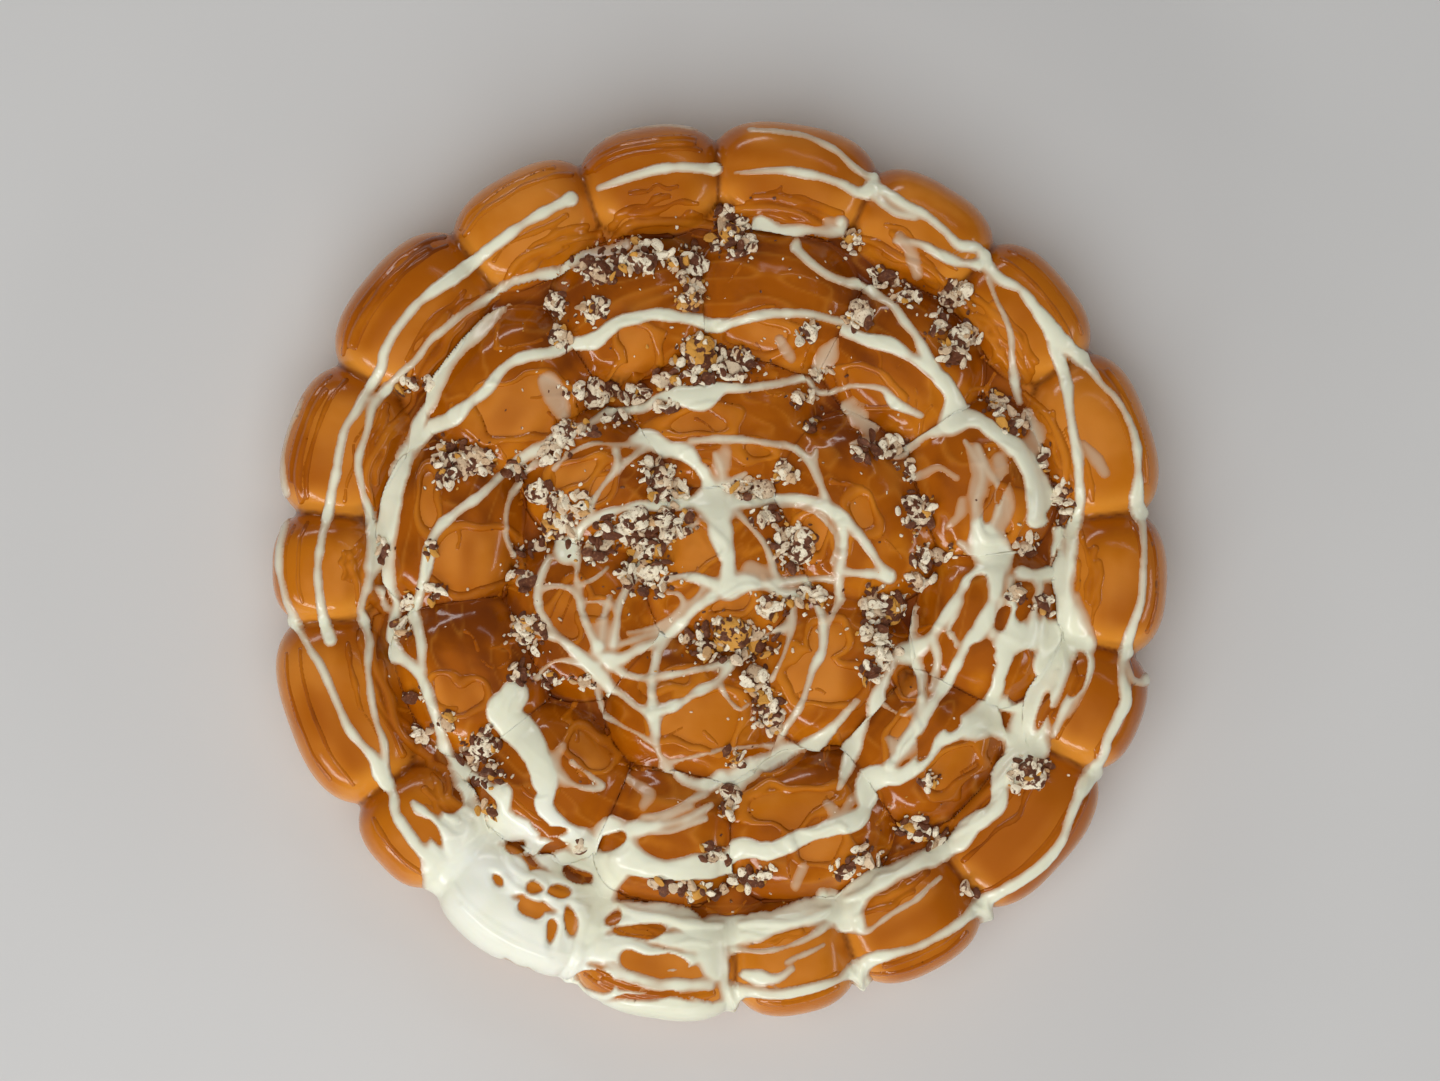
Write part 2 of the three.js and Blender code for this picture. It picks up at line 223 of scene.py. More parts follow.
class Loaf:
    """The crust's surface over the unrolled disc, on a square grid, and what lies on it."""

    def __init__(self):
        count = int(UNROLLED / GRID_STEP) + 3
        self.axis = np.arange(-count, count + 1) * GRID_STEP
        self.low = self.axis[0]
        self.u, self.v = np.meshgrid(self.axis, self.axis, indexing="ij")
        self.rho = np.hypot(self.u, self.v)
        self.theta = np.arctan2(self.v, self.u)
        self.buns = lay_out_buns()
        self.build()

    def rays(self):
        held = np.minimum(self.rho, RIM)
        turn = np.maximum(self.rho - RIM, 0) / FAN
        c = np.cos(self.theta)
        s = np.sin(self.theta)
        origin = (held * c, held * s)
        out = np.sin(turn)
        return origin, (out * c, out * s, np.cos(turn)), turn

    def build(self):
        (ox, oy), (dx, dy, dz), turn = self.rays()
        core = (CORE_HEIGHT - EQUATOR) * np.exp(-((np.maximum(self.rho - RIM, 0) / CORE_FADE) ** 2))
        total = np.exp(core / BLEND)
        top = core.copy()
        inside_rim = self.rho <= RIM
        for bun in self.buns:
            reach = np.zeros_like(core)
            level = plan_level(bun, ox, oy)
            over = inside_rim & (level < 1)
            reach[over] = bun["rise"] * (1 - level[over] ** SIDE_POWER) ** (1 / SIDE_POWER)
            if bun["outer"]:
                near = (~inside_rim) & (np.cos(self.theta - bun["angle"]) > math.cos(BUN_SIDE))
                ray = [part[near] for part in (ox, oy, dx, dy, dz)]
                reach[near] = self.leave(bun, *ray)
            total += np.exp(reach / BLEND)
            top = np.maximum(top, reach)
        distance = BLEND * np.log(total)
        # The tin cuts the underside off flat.
        floor = np.where(dz < -LEVEL, EQUATOR / np.maximum(-dz, LEVEL), UNROLLED)
        distance = np.minimum(distance, floor)
        self.crease = smooth(0.02, 0.4, distance - top)
        self.point = np.stack([ox + dx * distance, oy + dy * distance, EQUATOR + dz * distance])
        self.turn = turn
        self.normal = self.normals(self.point)
        self.seen = self.apparent()

    def leave(self, bun, ox, oy, dx, dy, dz):
        """How far along each ray the bun ends, or 0 where the ray misses it."""

        def inside(t):
            level = plan_level(bun, ox + dx * t, oy + dy * t)
            up = dz * t
            side = np.abs(up) / np.where(up > 0, bun["rise"], BUN_DROP)
            return level**SIDE_POWER + side**SIDE_POWER < 1

        last = np.zeros_like(ox)
        for t in np.arange(0, LONGEST_RAY, STRIDE):
            last = np.where(inside(t), t, last)
        low = last
        high = last + STRIDE
        for _ in range(HALVINGS):
            middle = (low + high) / 2
            within = inside(middle)
            low = np.where(within, middle, low)
            high = np.where(within, high, middle)
        return np.where(last > 0, low, 0)

    @staticmethod
    def normals(point):
        along_u = np.gradient(point, axis=1)
        along_v = np.gradient(point, axis=2)
        normal = np.cross(along_u, along_v, axis=0)
        return normal / np.maximum(np.linalg.norm(normal, axis=0), 1e-9)

    def apparent(self):
        """Where each point shows from the camera, on the level of the loaf's widest line, as x and y."""
        x, y, z = self.point
        zoom = (CAMERA_Z - EQUATOR) / (CAMERA_Z - z)
        seen_x = CAMERA_X + (x - CAMERA_X) * zoom
        seen_y = CAMERA_Y + (y - CAMERA_Y) * zoom
        edge = SHOULDER / np.maximum(self.rho, 1)
        held_x = sample(self.axis, seen_x, self.u * edge, self.v * edge)
        held_y = sample(self.axis, seen_y, self.u * edge, self.v * edge)
        past = self.rho - SHOULDER
        beyond = past > 0
        seen_x = np.where(beyond, held_x + past * np.cos(self.theta), seen_x)
        seen_y = np.where(beyond, held_y + past * np.sin(self.theta), seen_y)
        return np.stack([seen_x, seen_y])


def sample(axis, field, x, y):
    """The field's value at x and y, read between the points of its square grid."""
    step = axis[1] - axis[0]
    u = clamp((x - axis[0]) / step, 0, len(axis) - 1.001)
    v = clamp((y - axis[0]) / step, 0, len(axis) - 1.001)
    i = u.astype(int)
    j = v.astype(int)
    fu = u - i
    fv = v - j
    near = field[..., i, j] * (1 - fu) + field[..., i + 1, j] * fu
    far = field[..., i, j + 1] * (1 - fu) + field[..., i + 1, j + 1] * fu
    return near * (1 - fv) + far * fv


# Icing strands: (angle, radius, width) at each knot
STRANDS = [
    [(105, 149.8, 2), (101.6, 151, 2.4), (96.5, 149.6, 2), (93, 148, 1.6)],
    [(108, 133, 2.5), (104.5, 134, 3.2), (100, 134.7, 3.8), (96, 134.6, 3.6), (91, 133.3, 4.2)],
    [(112, 133.2, 5), (120.4, 132.5, 3.6), (131, 131.6, 5.6), (140, 134.7, 3.6), (147, 133.8, 3.8),
     (150, 131.6, 4.2), (155.6, 132.7, 3.6), (159.6, 133.9, 3.8), (163.7, 133.5, 3.4), (168, 132.7, 3.6),
     (172, 132.9, 3.8), (175.5, 134, 3.4), (180, 135.3, 3.6), (185.5, 134.9, 3.6), (190.5, 133.5, 5.6)],
    [(158, 152, 1.6), (161, 152.5, 2.2), (165, 152.5, 2.2), (169, 150, 3), (170.7, 148.3, 4)],
    [(174, 147.5, 3), (178, 148.5, 3.4), (181.4, 148, 3.4), (185, 146.2, 3.4), (188.2, 143.1, 3.6),
     (191.6, 140.5, 3.4), (193.8, 138.2, 3.8), (199.3, 136.5, 3.6), (203.9, 135.9, 3.6), (208.7, 133.1, 4),
     (211.4, 132.9, 6.5), (214.8, 134.1, 4.2), (217.4, 137, 4), (222.4, 138.3, 4.2), (226, 138, 6)],
    [(106, 111.7, 2.4), (110.7, 112.3, 2.6), (115.6, 112.1, 2.8), (118.9, 113.9, 2.6), (123.3, 116.2, 2.8),
     (126.6, 118.4, 2.8), (130.5, 118.9, 3), (136, 121, 2.6), (140.9, 122.9, 2.8), (144.9, 123.2, 2.6),
     (149.4, 124.8, 3), (154.3, 128.1, 3.4), (158.7, 126.8, 2.8), (164.1, 126.4, 2.8), (168.4, 122, 2.6),
     (171.6, 118.7, 3), (176.5, 116.7, 3.2), (180, 116.8, 3.6), (183, 118.3, 3), (187, 121, 2.8),
     (191.6, 120.6, 2.8), (197.5, 123.5, 2.8), (202.3, 125.9, 2.8), (207.7, 127.4, 2.8), (211, 131, 3)],
    [(184, 115, 2.2), (187.3, 112.4, 2)],
    [(154, 128, 2), (154.6, 132, 2)],
    [(129, 112.5, 1.4), (136, 111.9, 3), (140.4, 113.3, 3.6), (145.3, 112.7, 3.8), (149.4, 111.6, 4),
     (154.2, 111.9, 4.4), (158.6, 111.8, 5), (163.1, 112.3, 6), (167.6, 112, 6.6), (173.2, 112.2, 5.6),
     (178, 115, 4), (180, 116.8, 3.4)],
    [(173, 112, 4), (177, 111, 3.4), (180, 110.8, 3.2), (184, 110, 3.4), (186.5, 108.8, 3.6), (191, 112.2, 4),
     (194.6, 112.4, 4.8), (197.2, 109.6, 4), (199.8, 107.1, 3.8), (204, 107.4, 4), (207.9, 107.9, 4),
     (212.8, 110.3, 3.8), (217.1, 110.3, 4), (222, 108.5, 4.4), (226.2, 108.8, 6)],
    [(217, 110.3, 2.4), (221.2, 114.3, 2.4), (224, 117, 3)],
    [(61, 92, 2.6), (68.3, 90, 3), (75.5, 87.8, 3.4), (81, 85.3, 3.6), (91, 81, 4.2), (97, 83.6, 4.2),
     (105.7, 87.6, 4), (112.8, 88.6, 4), (119.3, 86.7, 6.6), (124, 90, 4.2), (128.6, 91.6, 3.8),
     (132.9, 95.8, 4), (137.9, 98.7, 4), (142.9, 98.6, 4.2), (146.9, 100.3, 4.4), (151.4, 103.3, 5.6),
     (154, 106.8, 4.6), (158, 109.5, 5), (160, 111.8, 5)],
    [(37, 84, 2), (43.3, 79.9, 4.4), (48, 80, 2), (54.2, 74.2, 2), (60.2, 67, 2.2), (65.3, 68.5, 2.4),
     (72, 64.7, 2.8), (80.7, 61, 3.2), (90, 59.5, 4.4), (97, 57, 9), (108, 60, 3.8), (117, 59.3, 3),
     (126, 62.9, 2.8), (135.2, 66.4, 3), (146, 72.9, 3), (156, 79, 3.2), (163.4, 84.1, 3.2),
     (168.6, 90.5, 3.4), (172, 95, 3.4), (175.8, 97.6, 3.6), (180, 98.7, 4), (185.4, 101.2, 3.6),
     (189.4, 103.5, 3.6), (194.7, 103.5, 3.4), (199, 105.8, 3.2)],
    [(76.7, 110, 4.4), (73.7, 106.7, 3), (68.9, 104, 3), (64.3, 104.7, 3.2), (57.3, 105, 3.2),
     (53.2, 102.7, 3.4), (49, 101, 3.6), (43, 97, 4.6), (38.8, 97, 5), (35.3, 95.9, 6), (32, 90.7, 8)],
    [(62, 89, 3), (57.8, 90.2, 5.4), (52.6, 93.5, 5.4), (47.9, 94.7, 4), (43, 97, 4)],
    [(32, 90.7, 7), (29.7, 98.5, 6.6), (25, 103, 5.4), (22, 106.5, 6.6), (18.3, 108.5, 7.6), (13, 109, 7.4),
     (8.6, 106.9, 7.8)],
    [(27, 92, 1.8), (23, 93, 1.8), (19.3, 92.9, 1.8), (13.5, 88.1, 1.8), (7.8, 87.8, 2.4), (3.3, 89.8, 9)],
    [(25, 95, 1.8), (20, 95, 1.8), (16, 97, 2), (12, 95.8, 2.2), (8, 92, 2.4), (3.3, 89.8, 4)],
    [(86.2, 147.7, 2.2), (82.3, 148, 2.6), (78.3, 147.7, 2.6), (74.5, 145.2, 2.6), (71.3, 141.4, 2.8),
     (68.4, 139.7, 3)],
    [(88, 132, 1.2), (83.4, 133.4, 2.4), (80, 134.6, 3.8), (76.3, 135.1, 4), (72.7, 134.6, 4),
     (69.5, 133.6, 4.2), (67.4, 137.1, 5.4), (62.8, 136.2, 4.4), (60.1, 136.7, 4.2), (56.5, 135.7, 4),
     (53.3, 134.4, 4), (50.7, 137.4, 4.4), (48.4, 135.1, 4.2), (46, 134.9, 4), (42.8, 136.9, 4.2),
     (38.4, 136.7, 4.8), (34.6, 136.6, 6.4), (32.8, 137.5, 7), (29, 140.3, 5), (26, 141.6, 2.4),
     (23.2, 144.2, 2.2), (19.8, 145.9, 3.4), (16.5, 145.9, 3.8), (12.8, 144.2, 3.6), (8.4, 141.5, 5.4),
     (5.6, 142.6, 3.2), (0, 142.3, 3), (-4.7, 141.8, 3.2), (-8.1, 140, 3.4), (-11.2, 139.2, 5),
     (-14.6, 139.1, 3.2), (-18.3, 143.2, 4.8), (-21.2, 143, 4), (-24, 142.2, 3.6), (-26.4, 143.5, 3.6),
     (-30.3, 142.6, 6.4), (-33.3, 143.3, 4), (-35.3, 144.3, 3.8), (-38.8, 146.9, 4), (-42.3, 147.6, 4.6),
     (-46, 146.5, 4), (-49.6, 144.6, 4), (-52, 143.3, 5.8), (-55.1, 144, 4), (-58, 144.4, 3.8),
     (-62.3, 144, 3.6), (-65.9, 142.6, 3.8), (-69.6, 141.8, 5.8), (-73.8, 144, 3.6), (-78, 144.8, 4),
     (-82.1, 145, 4), (-86, 143.3, 4), (-88.4, 142.3, 5)],
    [(67.4, 134.5, 3), (64, 132.3, 3), (61, 134, 3)],
    [(33.5, 134, 4), (31, 133, 5.4), (28, 131.1, 5), (24, 128.2, 3.6), (20.4, 126.4, 3.6), (16.7, 125.1, 4.4),
     (12.8, 123.2, 4), (8.8, 121.3, 5), (5.1, 118.3, 4), (0, 116.5, 4), (-5.1, 114.9, 5.6), (-9, 115, 8)],
    [(-13, 139, 2.4), (-15, 143, 2.2), (-15.4, 147, 2.6), (-14.7, 148.8, 5)],
    [(-52.3, 143.5, 4), (-52.8, 147, 4), (-53, 149.6, 6)],
    [(-70.5, 142, 3), (-71, 145.5, 3), (-71.1, 148, 5)],
    [(-89.3, 128, 3), (-89.4, 138, 4), (-89, 146, 4), (-89, 150, 5.4)],
    [(47.5, 131.7, 1.8), (43.9, 128.3, 2), (40, 125.9, 2.4), (35.4, 119.9, 3), (31.7, 115.7, 3.8),
     (28.8, 113.8, 3)],
    [(83.4, 115.9, 5.4), (80, 114.9, 3), (75.1, 117, 3), (70.7, 119.2, 3), (70.5, 122, 4)],
    [(62, 123.6, 1.5), (58.3, 127.4, 3), (54.8, 127.7, 3.8), (51.7, 129.6, 3.6), (49.5, 133, 3.2)],
    [(211.9, 81.5, 9.5), (214.1, 87.6, 10.5), (221.6, 87.1, 10.5), (227.7, 89.9, 9.4), (232.1, 95.3, 8),
     (233.7, 100, 6.4), (238.9, 102.8, 6), (243, 103.5, 9)],
    [(250, 103, 9), (256.9, 104.1, 6), (262.5, 103.6, 5), (268, 102.8, 4.8), (271, 99, 4.6),
     (273.9, 94.9, 6.4), (279.9, 96.8, 7.4), (286.3, 95.1, 6), (292.6, 95.3, 6), (298, 96.6, 6.8),
     (301.2, 94.2, 5), (305, 87.4, 8.5), (310.5, 92.7, 6), (315.4, 93.9, 5), (321.5, 94, 5), (326, 97, 5),
     (330.4, 100.8, 5)],
    [(252.8, 91.4, 2.4), (259.2, 90.3, 2.4), (266.7, 84.8, 2.2)],
    [(256, 88, 2), (262.8, 81.3, 2)],
    [(249.5, 124.7, 9), (256, 121, 6), (263.4, 118.9, 6), (268.4, 122.9, 9.5), (274.7, 120.6, 8),
     (279.6, 119.8, 6), (284.6, 118.7, 5), (289.8, 122, 11), (293.3, 118.4, 6.6), (298.8, 118, 5),
     (304.1, 119.2, 5), (307.5, 121, 6), (310.4, 121.7, 7.6), (314, 120.4, 6), (318.9, 122.6, 6.6),
     (322.5, 118.1, 6), (327.2, 117.9, 8.4), (329.2, 120, 9), (332.9, 116.6, 6.6), (339.4, 113, 6),
     (345, 112.6, 5.6), (350, 113, 8)],
    [(253, 138, 3), (257.5, 140.2, 3), (261.8, 142.4, 3), (268.6, 140.9, 3.4)],
    [(150, 70, 1.6), (157.6, 73.4, 1.8), (163.9, 74.1, 1.8), (170.6, 72.9, 1.8), (177, 69, 1.6)],
]

# The star in the middle and the fine web: (x, y, width) in millimetres from the loaf's middle
WEB = [
    [(-29, 42.5, 4), (-24, 42.5, 6.4), (-19, 39.5, 5.6), (-12, 38, 5), (-8, 34, 5), (-5, 30, 5), (-3, 25, 7),
     (-1, 19.5, 12.5), (-0.5, 15, 11), (0, 10, 8.6), (1.5, 5, 6), (2.4, 1.5, 4.6), (2.4, -3, 6), (3, -7, 9)],
    [(-5, 21, 7), (-10, 21.5, 4.4), (-20, 20.5, 3.4), (-28, 20, 3.4), (-36, 18.5, 3.2), (-42, 16.5, 3.2),
     (-46, 13.5, 3.2), (-49, 9, 4.6), (-51.5, 5, 8)],
    [(4, 21.5, 7), (10, 21.5, 4), (18, 22.5, 3.2), (26, 22.5, 3.4), (32, 21.3, 3.2), (37, 18.8, 3.6),
     (42, 15, 4), (46, 11, 3.4), (50, 6, 3.2), (53, 1, 3.8), (56.5, -3.5, 6)],
    [(38, 18, 3), (41, 12, 3), (41.2, 5, 2.8), (40, 0, 3), (40, -6, 3), (40, -11, 2.4)],
    [(39, -1.5, 3), (45, -2.2, 2.6), (52, -3, 3), (56, -3.5, 4)],
    [(36, 19.5, 3), (34.5, 25, 2.6), (33, 29, 2.4), (29.5, 35.5, 2.6), (26, 39, 2.4), (22, 41, 2)],
    [(33, 30, 2), (31.5, 35, 1.8), (32, 39, 1.6)],
    [(-28, 41, 2), (-36, 40.7, 1.8), (-43, 41.3, 1.6), (-50, 38, 1.5), (-56, 33, 1.4)],
    [(-26, 39.5, 3), (-33, 34, 2.6), (-38, 29, 2.4), (-42.5, 22.5, 2.2), (-44, 18, 2)],
    [(-35, 39, 2.4), (-34.5, 36, 2.2), (-35, 32, 2)],
    [(-10, 42, 1.8), (0, 42.6, 2.4), (10, 42, 2.4), (20, 41, 2)],
    [(-3, 28.5, 3), (1, 28, 2.4), (5, 29.3, 2), (8, 31, 1.6)],
    [(1, 29, 1.8), (0, 34, 2.4), (-2, 38, 1.6)],
    [(5, 19, 2), (8, 15.5, 1.8), (12, 11, 1.8), (15, 7, 2), (17.3, 2, 2.4), (18, -2, 2.2), (20, -6, 2)],
    [(20, 20.6, 1.6), (27, 20, 1.4), (33, 17, 1.4), (37.6, 12, 1.4), (38.6, 6, 1.4), (37.5, 1, 1.4)],
    [(-8, 15, 2.4), (-14, 11.5, 2.4), (-20, 8, 3), (-25, 3.5, 3), (-27, -1, 2.8), (-31, -7, 2.4),
     (-34, -13, 2.4), (-34.5, -19, 2.6), (-36, -26, 3)],
    [(-20, -5, 2.2), (-14, -3.6, 2.6), (-8, -4.2, 3), (-2, -6, 4)],
    [(3, -7, 8), (9, -5.5, 5), (14, -6.2, 4), (20, -5.5, 3), (28, -4, 2.4), (37, -4.5, 2.4)],
    [(14, -6, 3), (20, -8.5, 3.6), (26, -9.5, 3)],
    [(0, -8, 5), (-4, -11, 3.6), (-9, -14.5, 3.2), (-13, -18.5, 3.2), (-17, -22.5, 3.2), (-22, -25.8, 3),
     (-28, -28, 3.2), (-33, -30.8, 4), (-38, -31, 5), (-42, -29, 4)],
    [(-57.5, 3, 2.6), (-61, -6, 3.6), (-61, -13, 2.4), (-58, -20, 2.2), (-52, -26, 2.6), (-46, -31, 4),
     (-42, -35, 4.6), (-37.5, -39.5, 3.6), (-33, -43, 2.8), (-28, -47, 2.8), (-22.5, -49.5, 4)],
    [(-60, -7.5, 2), (-55, -6.3, 2), (-50.5, -7.2, 2.4), (-47.5, -10.5, 2.2), (-46.5, -16, 2.2),
     (-44, -22, 2.6), (-41, -27, 4)],
    [(-50, 6, 4), (-48.2, 1, 2.2), (-48.6, -4, 2), (-47.5, -9, 2)],
    [(-38, 0, 1.4), (-42, -4, 1.6), (-47, -6.5, 1.6)],
    [(-37, -10, 1.6), (-38.5, -15, 1.6), (-39.5, -20, 1.6), (-40, -26, 2)],
    [(-45, -11.5, 1.4), (-40, -11.6, 1.4), (-36.5, -12.8, 1.6)],
    [(-18, -9, 1.6), (-14, -9.5, 1.8), (-12.2, -13, 1.8), (-15, -17.4, 1.6), (-20.5, -21.3, 1.6),
     (-27, -24, 1.8), (-34, -26.5, 2)],
    [(-6, -7.5, 2), (-9, -11, 1.6), (-13.5, -14, 1.6), (-18, -17.6, 1.5), (-24, -20.6, 1.5), (-31, -22, 1.5)],
    [(-62, -37, 2), (-56, -32, 1.8), (-48, -32.5, 2.4), (-41, -33, 4)],
    [(-37, -33, 4), (-31, -36.4, 2.8), (-24, -37.2, 2.6), (-17, -36, 2.6), (-8, -34.4, 2.8), (-2, -33, 3),
     (4, -31.4, 3), (9, -29, 3.2), (12.5, -25, 3), (16.5, -22, 2.6), (21, -21, 2.4), (24, -18, 2.2),
     (24.5, -12, 2)],
    [(-17.5, -24, 2.6), (-20.3, -28, 2.6), (-22, -33, 2.8), (-23, -38, 2.8), (-23, -44, 2.8), (-22.3, -50, 4),
     (-21.6, -56, 2.8), (-21, -62, 2.4), (-19, -65, 2.2), (-16, -69, 2.4), (-12, -72, 2.6), (-6, -73, 4),
     (0, -71, 5)],
    [(-22, -48.5, 4), (-17, -47, 3.4), (-12, -45, 3), (-8, -42, 3), (-3, -39.5, 2.8), (0, -37.4, 2.8),
     (3, -33, 3)],
    [(0, -40, 1.8), (3, -45, 1.6), (7, -48, 1.6), (9.5, -46, 1.4)],
    [(-42, -40, 1.8), (-39, -48, 1.8), (-34, -53, 1.8), (-28, -56, 1.6), (-22, -59.5, 1.8)],
    [(29, -8, 2), (33, -14, 2.4), (34.3, -20, 3), (34, -28, 3), (31, -34, 2.8), (29, -40, 2.6),
     (27, -46, 2.6), (23.5, -52, 2.8), (19, -58, 2)],
    [(24.5, -13, 1.8), (24, -20, 1.8), (22, -27, 1.8), (20, -32, 1.8), (17, -38, 2)],
    [(40, -11, 1.8), (37, -17, 1.8), (34.5, -22, 2)],
    [(3, -73, 9), (7, -70.5, 7.5), (12, -66.7, 6), (20, -63, 5.4), (28, -60, 4.6), (34, -57, 4), (39, -53, 3),
     (43, -48.5, 2.4), (46, -45, 2)],
    [(58, -31, 3), (56, -36, 3.4), (53, -42, 3.6), (50, -49, 3.6), (47, -56, 3.8), (44, -63, 4.4),
     (42, -68, 3.6), (40, -74, 2.4)],
    [(52, -43, 1.6), (56, -47.5, 1.6), (61, -49.5, 1.6), (66, -47, 1.6)],
    [(-57, -64, 1.8), (-53, -71, 2), (-46, -74, 2.4), (-40, -73.6, 2.8), (-44, -70, 2), (-50, -65.5, 1.8)],
    [(-20, -66, 1.4), (-12, -64.8, 1.4), (-4, -63, 1.6), (2, -61.5, 1.6), (12, -60.5, 1.6), (20, -59, 1.6)],
    [(87, 14, 7), (89, 8, 11), (92, 3, 11), (91, -1.5, 8)],
    [(87, -2, 4.4), (82.5, -6, 4), (79, -11, 4), (75, -17, 4), (71, -23, 4), (66, -27.5, 4.6),
     (61, -29, 6.5)],
    [(92, -3, 5.6), (92, -9, 5), (90, -15, 5), (86.5, -21.5, 5.4), (82, -27, 4.4), (79, -33, 4.2),
     (75, -40, 4.2), (71, -46, 4.2), (67, -53, 3.8), (62, -60, 3.6), (57, -67, 4)],
    [(97, -4, 3), (97.5, -10, 3), (98, -16, 5), (99, -22, 9), (95, -27, 7), (94.6, -33, 4.6),
     (92.6, -39, 5.4), (89.5, -45, 6), (87.5, -51.5, 10), (83, -54, 7)],
    [(97, -22, 8), (104, -24, 8), (111, -22, 9)],
    [(113, 12, 5), (113, 5, 5), (114, -2, 6.4), (114, -9, 8), (115, -17, 11), (116, -23.5, 12.5)],
    [(106, -4, 3.4), (106.5, -9, 3), (104.8, -15, 3), (105, -21, 5)],
    [(101, -2, 4), (105, -3, 3.4), (110, -3, 4)],
    [(113, -28, 9), (110.5, -35, 5.4), (107.5, -42, 5.4), (104, -48, 7), (103, -55, 12), (102, -62, 13),
     (98, -70, 8)],
    [(123, -25, 4.4), (123.6, -33, 3.4), (121, -40, 3.4), (117, -45, 3.2), (114, -51, 2.8),
     (111.5, -57, 2.2)],
    [(114.5, -28, 5), (114.6, -35, 4.4), (112.5, -41, 3.6), (111, -46, 2.6)],
    [(64, -28, 4), (67, -35, 3.6), (67.5, -42, 2.6), (67.5, -48, 3.2), (64, -54, 3.2), (60, -61, 3)],
    [(71, -24, 3), (73, -33, 2.6), (71, -41, 2.6)],
    [(80, -12, 2.4), (77, -21, 2.4), (79, -26, 2.4)],
    [(94, -11, 3), (92.5, -17, 2.4), (91, -23, 4)],
    [(95, -46, 4), (99, -46.5, 4), (103, -48, 5)],
    [(66, -14, 1.8), (65, -22, 2), (64, -28, 3)],
    [(88, -52, 5), (95, -57, 3), (101, -60, 6)],
    [(44, 41, 1.8), (50, 42, 2), (60, 37, 2.2), (68, 43, 2.4), (76, 46, 3)],
    [(-70, -20, 1.8), (-62, -22, 2), (-56, -24, 2.2)],
    [(80, 8, 2.2), (88, 2, 2), (92, -8, 2.2), (90, -18, 2.6)],
    [(-2, -122, 8), (-3, -128, 11), (-2.5, -134, 8), (-1, -137, 5)],
    [(0, -123, 9), (8, -122.5, 8), (17, -121, 6), (26, -119, 5), (33, -117, 5)],
    [(4, -128.5, 1.8), (14, -129, 2), (24, -127, 2), (31, -123.5, 2.4), (37, -119.5, 3)],
    [(8, -137, 4), (13, -138, 6), (19, -138, 4), (24, -135, 3)],
    [(22, -133, 2), (29, -130, 2), (35, -127, 1.8)],
    [(34, -110, 5), (39, -114, 10), (43, -118, 9), (46, -121, 4)],
    [(47, -112, 4), (52, -106, 4), (60, -102, 4.4), (70, -98, 4)],
    [(46, -122, 3), (50, -122, 2.4), (57, -117, 2), (66, -111, 1.8), (74, -104, 1.6)],
    [(-37, -88, 9), (-36, -94, 13), (-37, -101, 11), (-39, -108, 9)],
    [(-34, -92, 6), (-27, -97, 4), (-20, -100.5, 5), (-10, -100, 6), (-2, -98, 5)],
    [(-26, -84, 2), (-18, -82.5, 2.2), (-10, -78, 2), (-5, -76, 2)],
    [(-30, -88, 5), (-20, -86.5, 3), (-10, -84, 2.6), (-3, -80, 2)],
    [(-48, -127, 6), (-40, -126, 4), (-30, -124, 4), (-18, -125, 4), (-8, -126, 7)],
    [(-43, -120, 4), (-36, -117, 3), (-25, -116.5, 3), (-15, -118, 4)],
    [(-38, -136, 4), (-30, -138, 4), (-20, -139.5, 3), (-10, -140, 4), (-3, -139, 3)],
    [(-103, -79, 2.5), (-99, -83.5, 4), (-95, -87.5, 5), (-90, -91.5, 7)],
    [(-90, -68, 2.2), (-87, -75, 2.4), (-84, -83, 3)],
]

# Milky films of thin icing: (x, y, width)
FILMS = [
    [(-58, 62, 6), (-55, 57, 8), (-53, 52, 5)],
    [(33, 67, 5), (36, 71, 8), (38, 75, 5)],
    [(24, 70, 3), (20, 76, 4)],
    [(43, 54, 5), (46, 50, 9), (50, 46, 6)],
    [(1.5, 38, 4), (0.5, 34, 6), (0, 30, 4)],
    [(85, 38, 4), (86.5, 30, 5), (86, 22, 5), (87, 15, 6)],
    [(93, 36, 4), (95, 28, 4), (96, 20, 5), (93, 13, 5)],
    [(76, 13, 3), (80, 17, 5), (81, 22, 3)],
    [(63, 33, 2), (66, 30, 3), (73, 33, 2), (79, 30, 2)],
    [(60, 111, 3), (64, 104, 4), (66, 98, 4)],
    [(36, 116, 4), (40, 114, 6)],
    [(103, 51, 4), (106, 45, 6), (104, 40, 5)],
    [(122, 41, 3), (126, 36, 5), (129, 31, 3)],
    [(119, -10, 3), (121, -18, 5), (124, -26, 3)],
    [(122, -32, 3), (121, -40, 3), (117, -50, 2)],
    [(13, -3, 6), (10, -1, 5)],
    [(-53, -60, 3), (-56, -66, 5), (-52, -72, 4)],
    [(-40, -20, 5), (-38, -24, 6)],
    [(56, -58, 3), (60, -62, 5), (66, -60, 4)],
    [(28, -101, 3), (25, -107, 5)],
    [(-30, -72, 3), (-24, -76, 5), (-26, -80, 3)],
    [(36, -80, 3), (40, -84, 4), (44, -78, 3)],
]

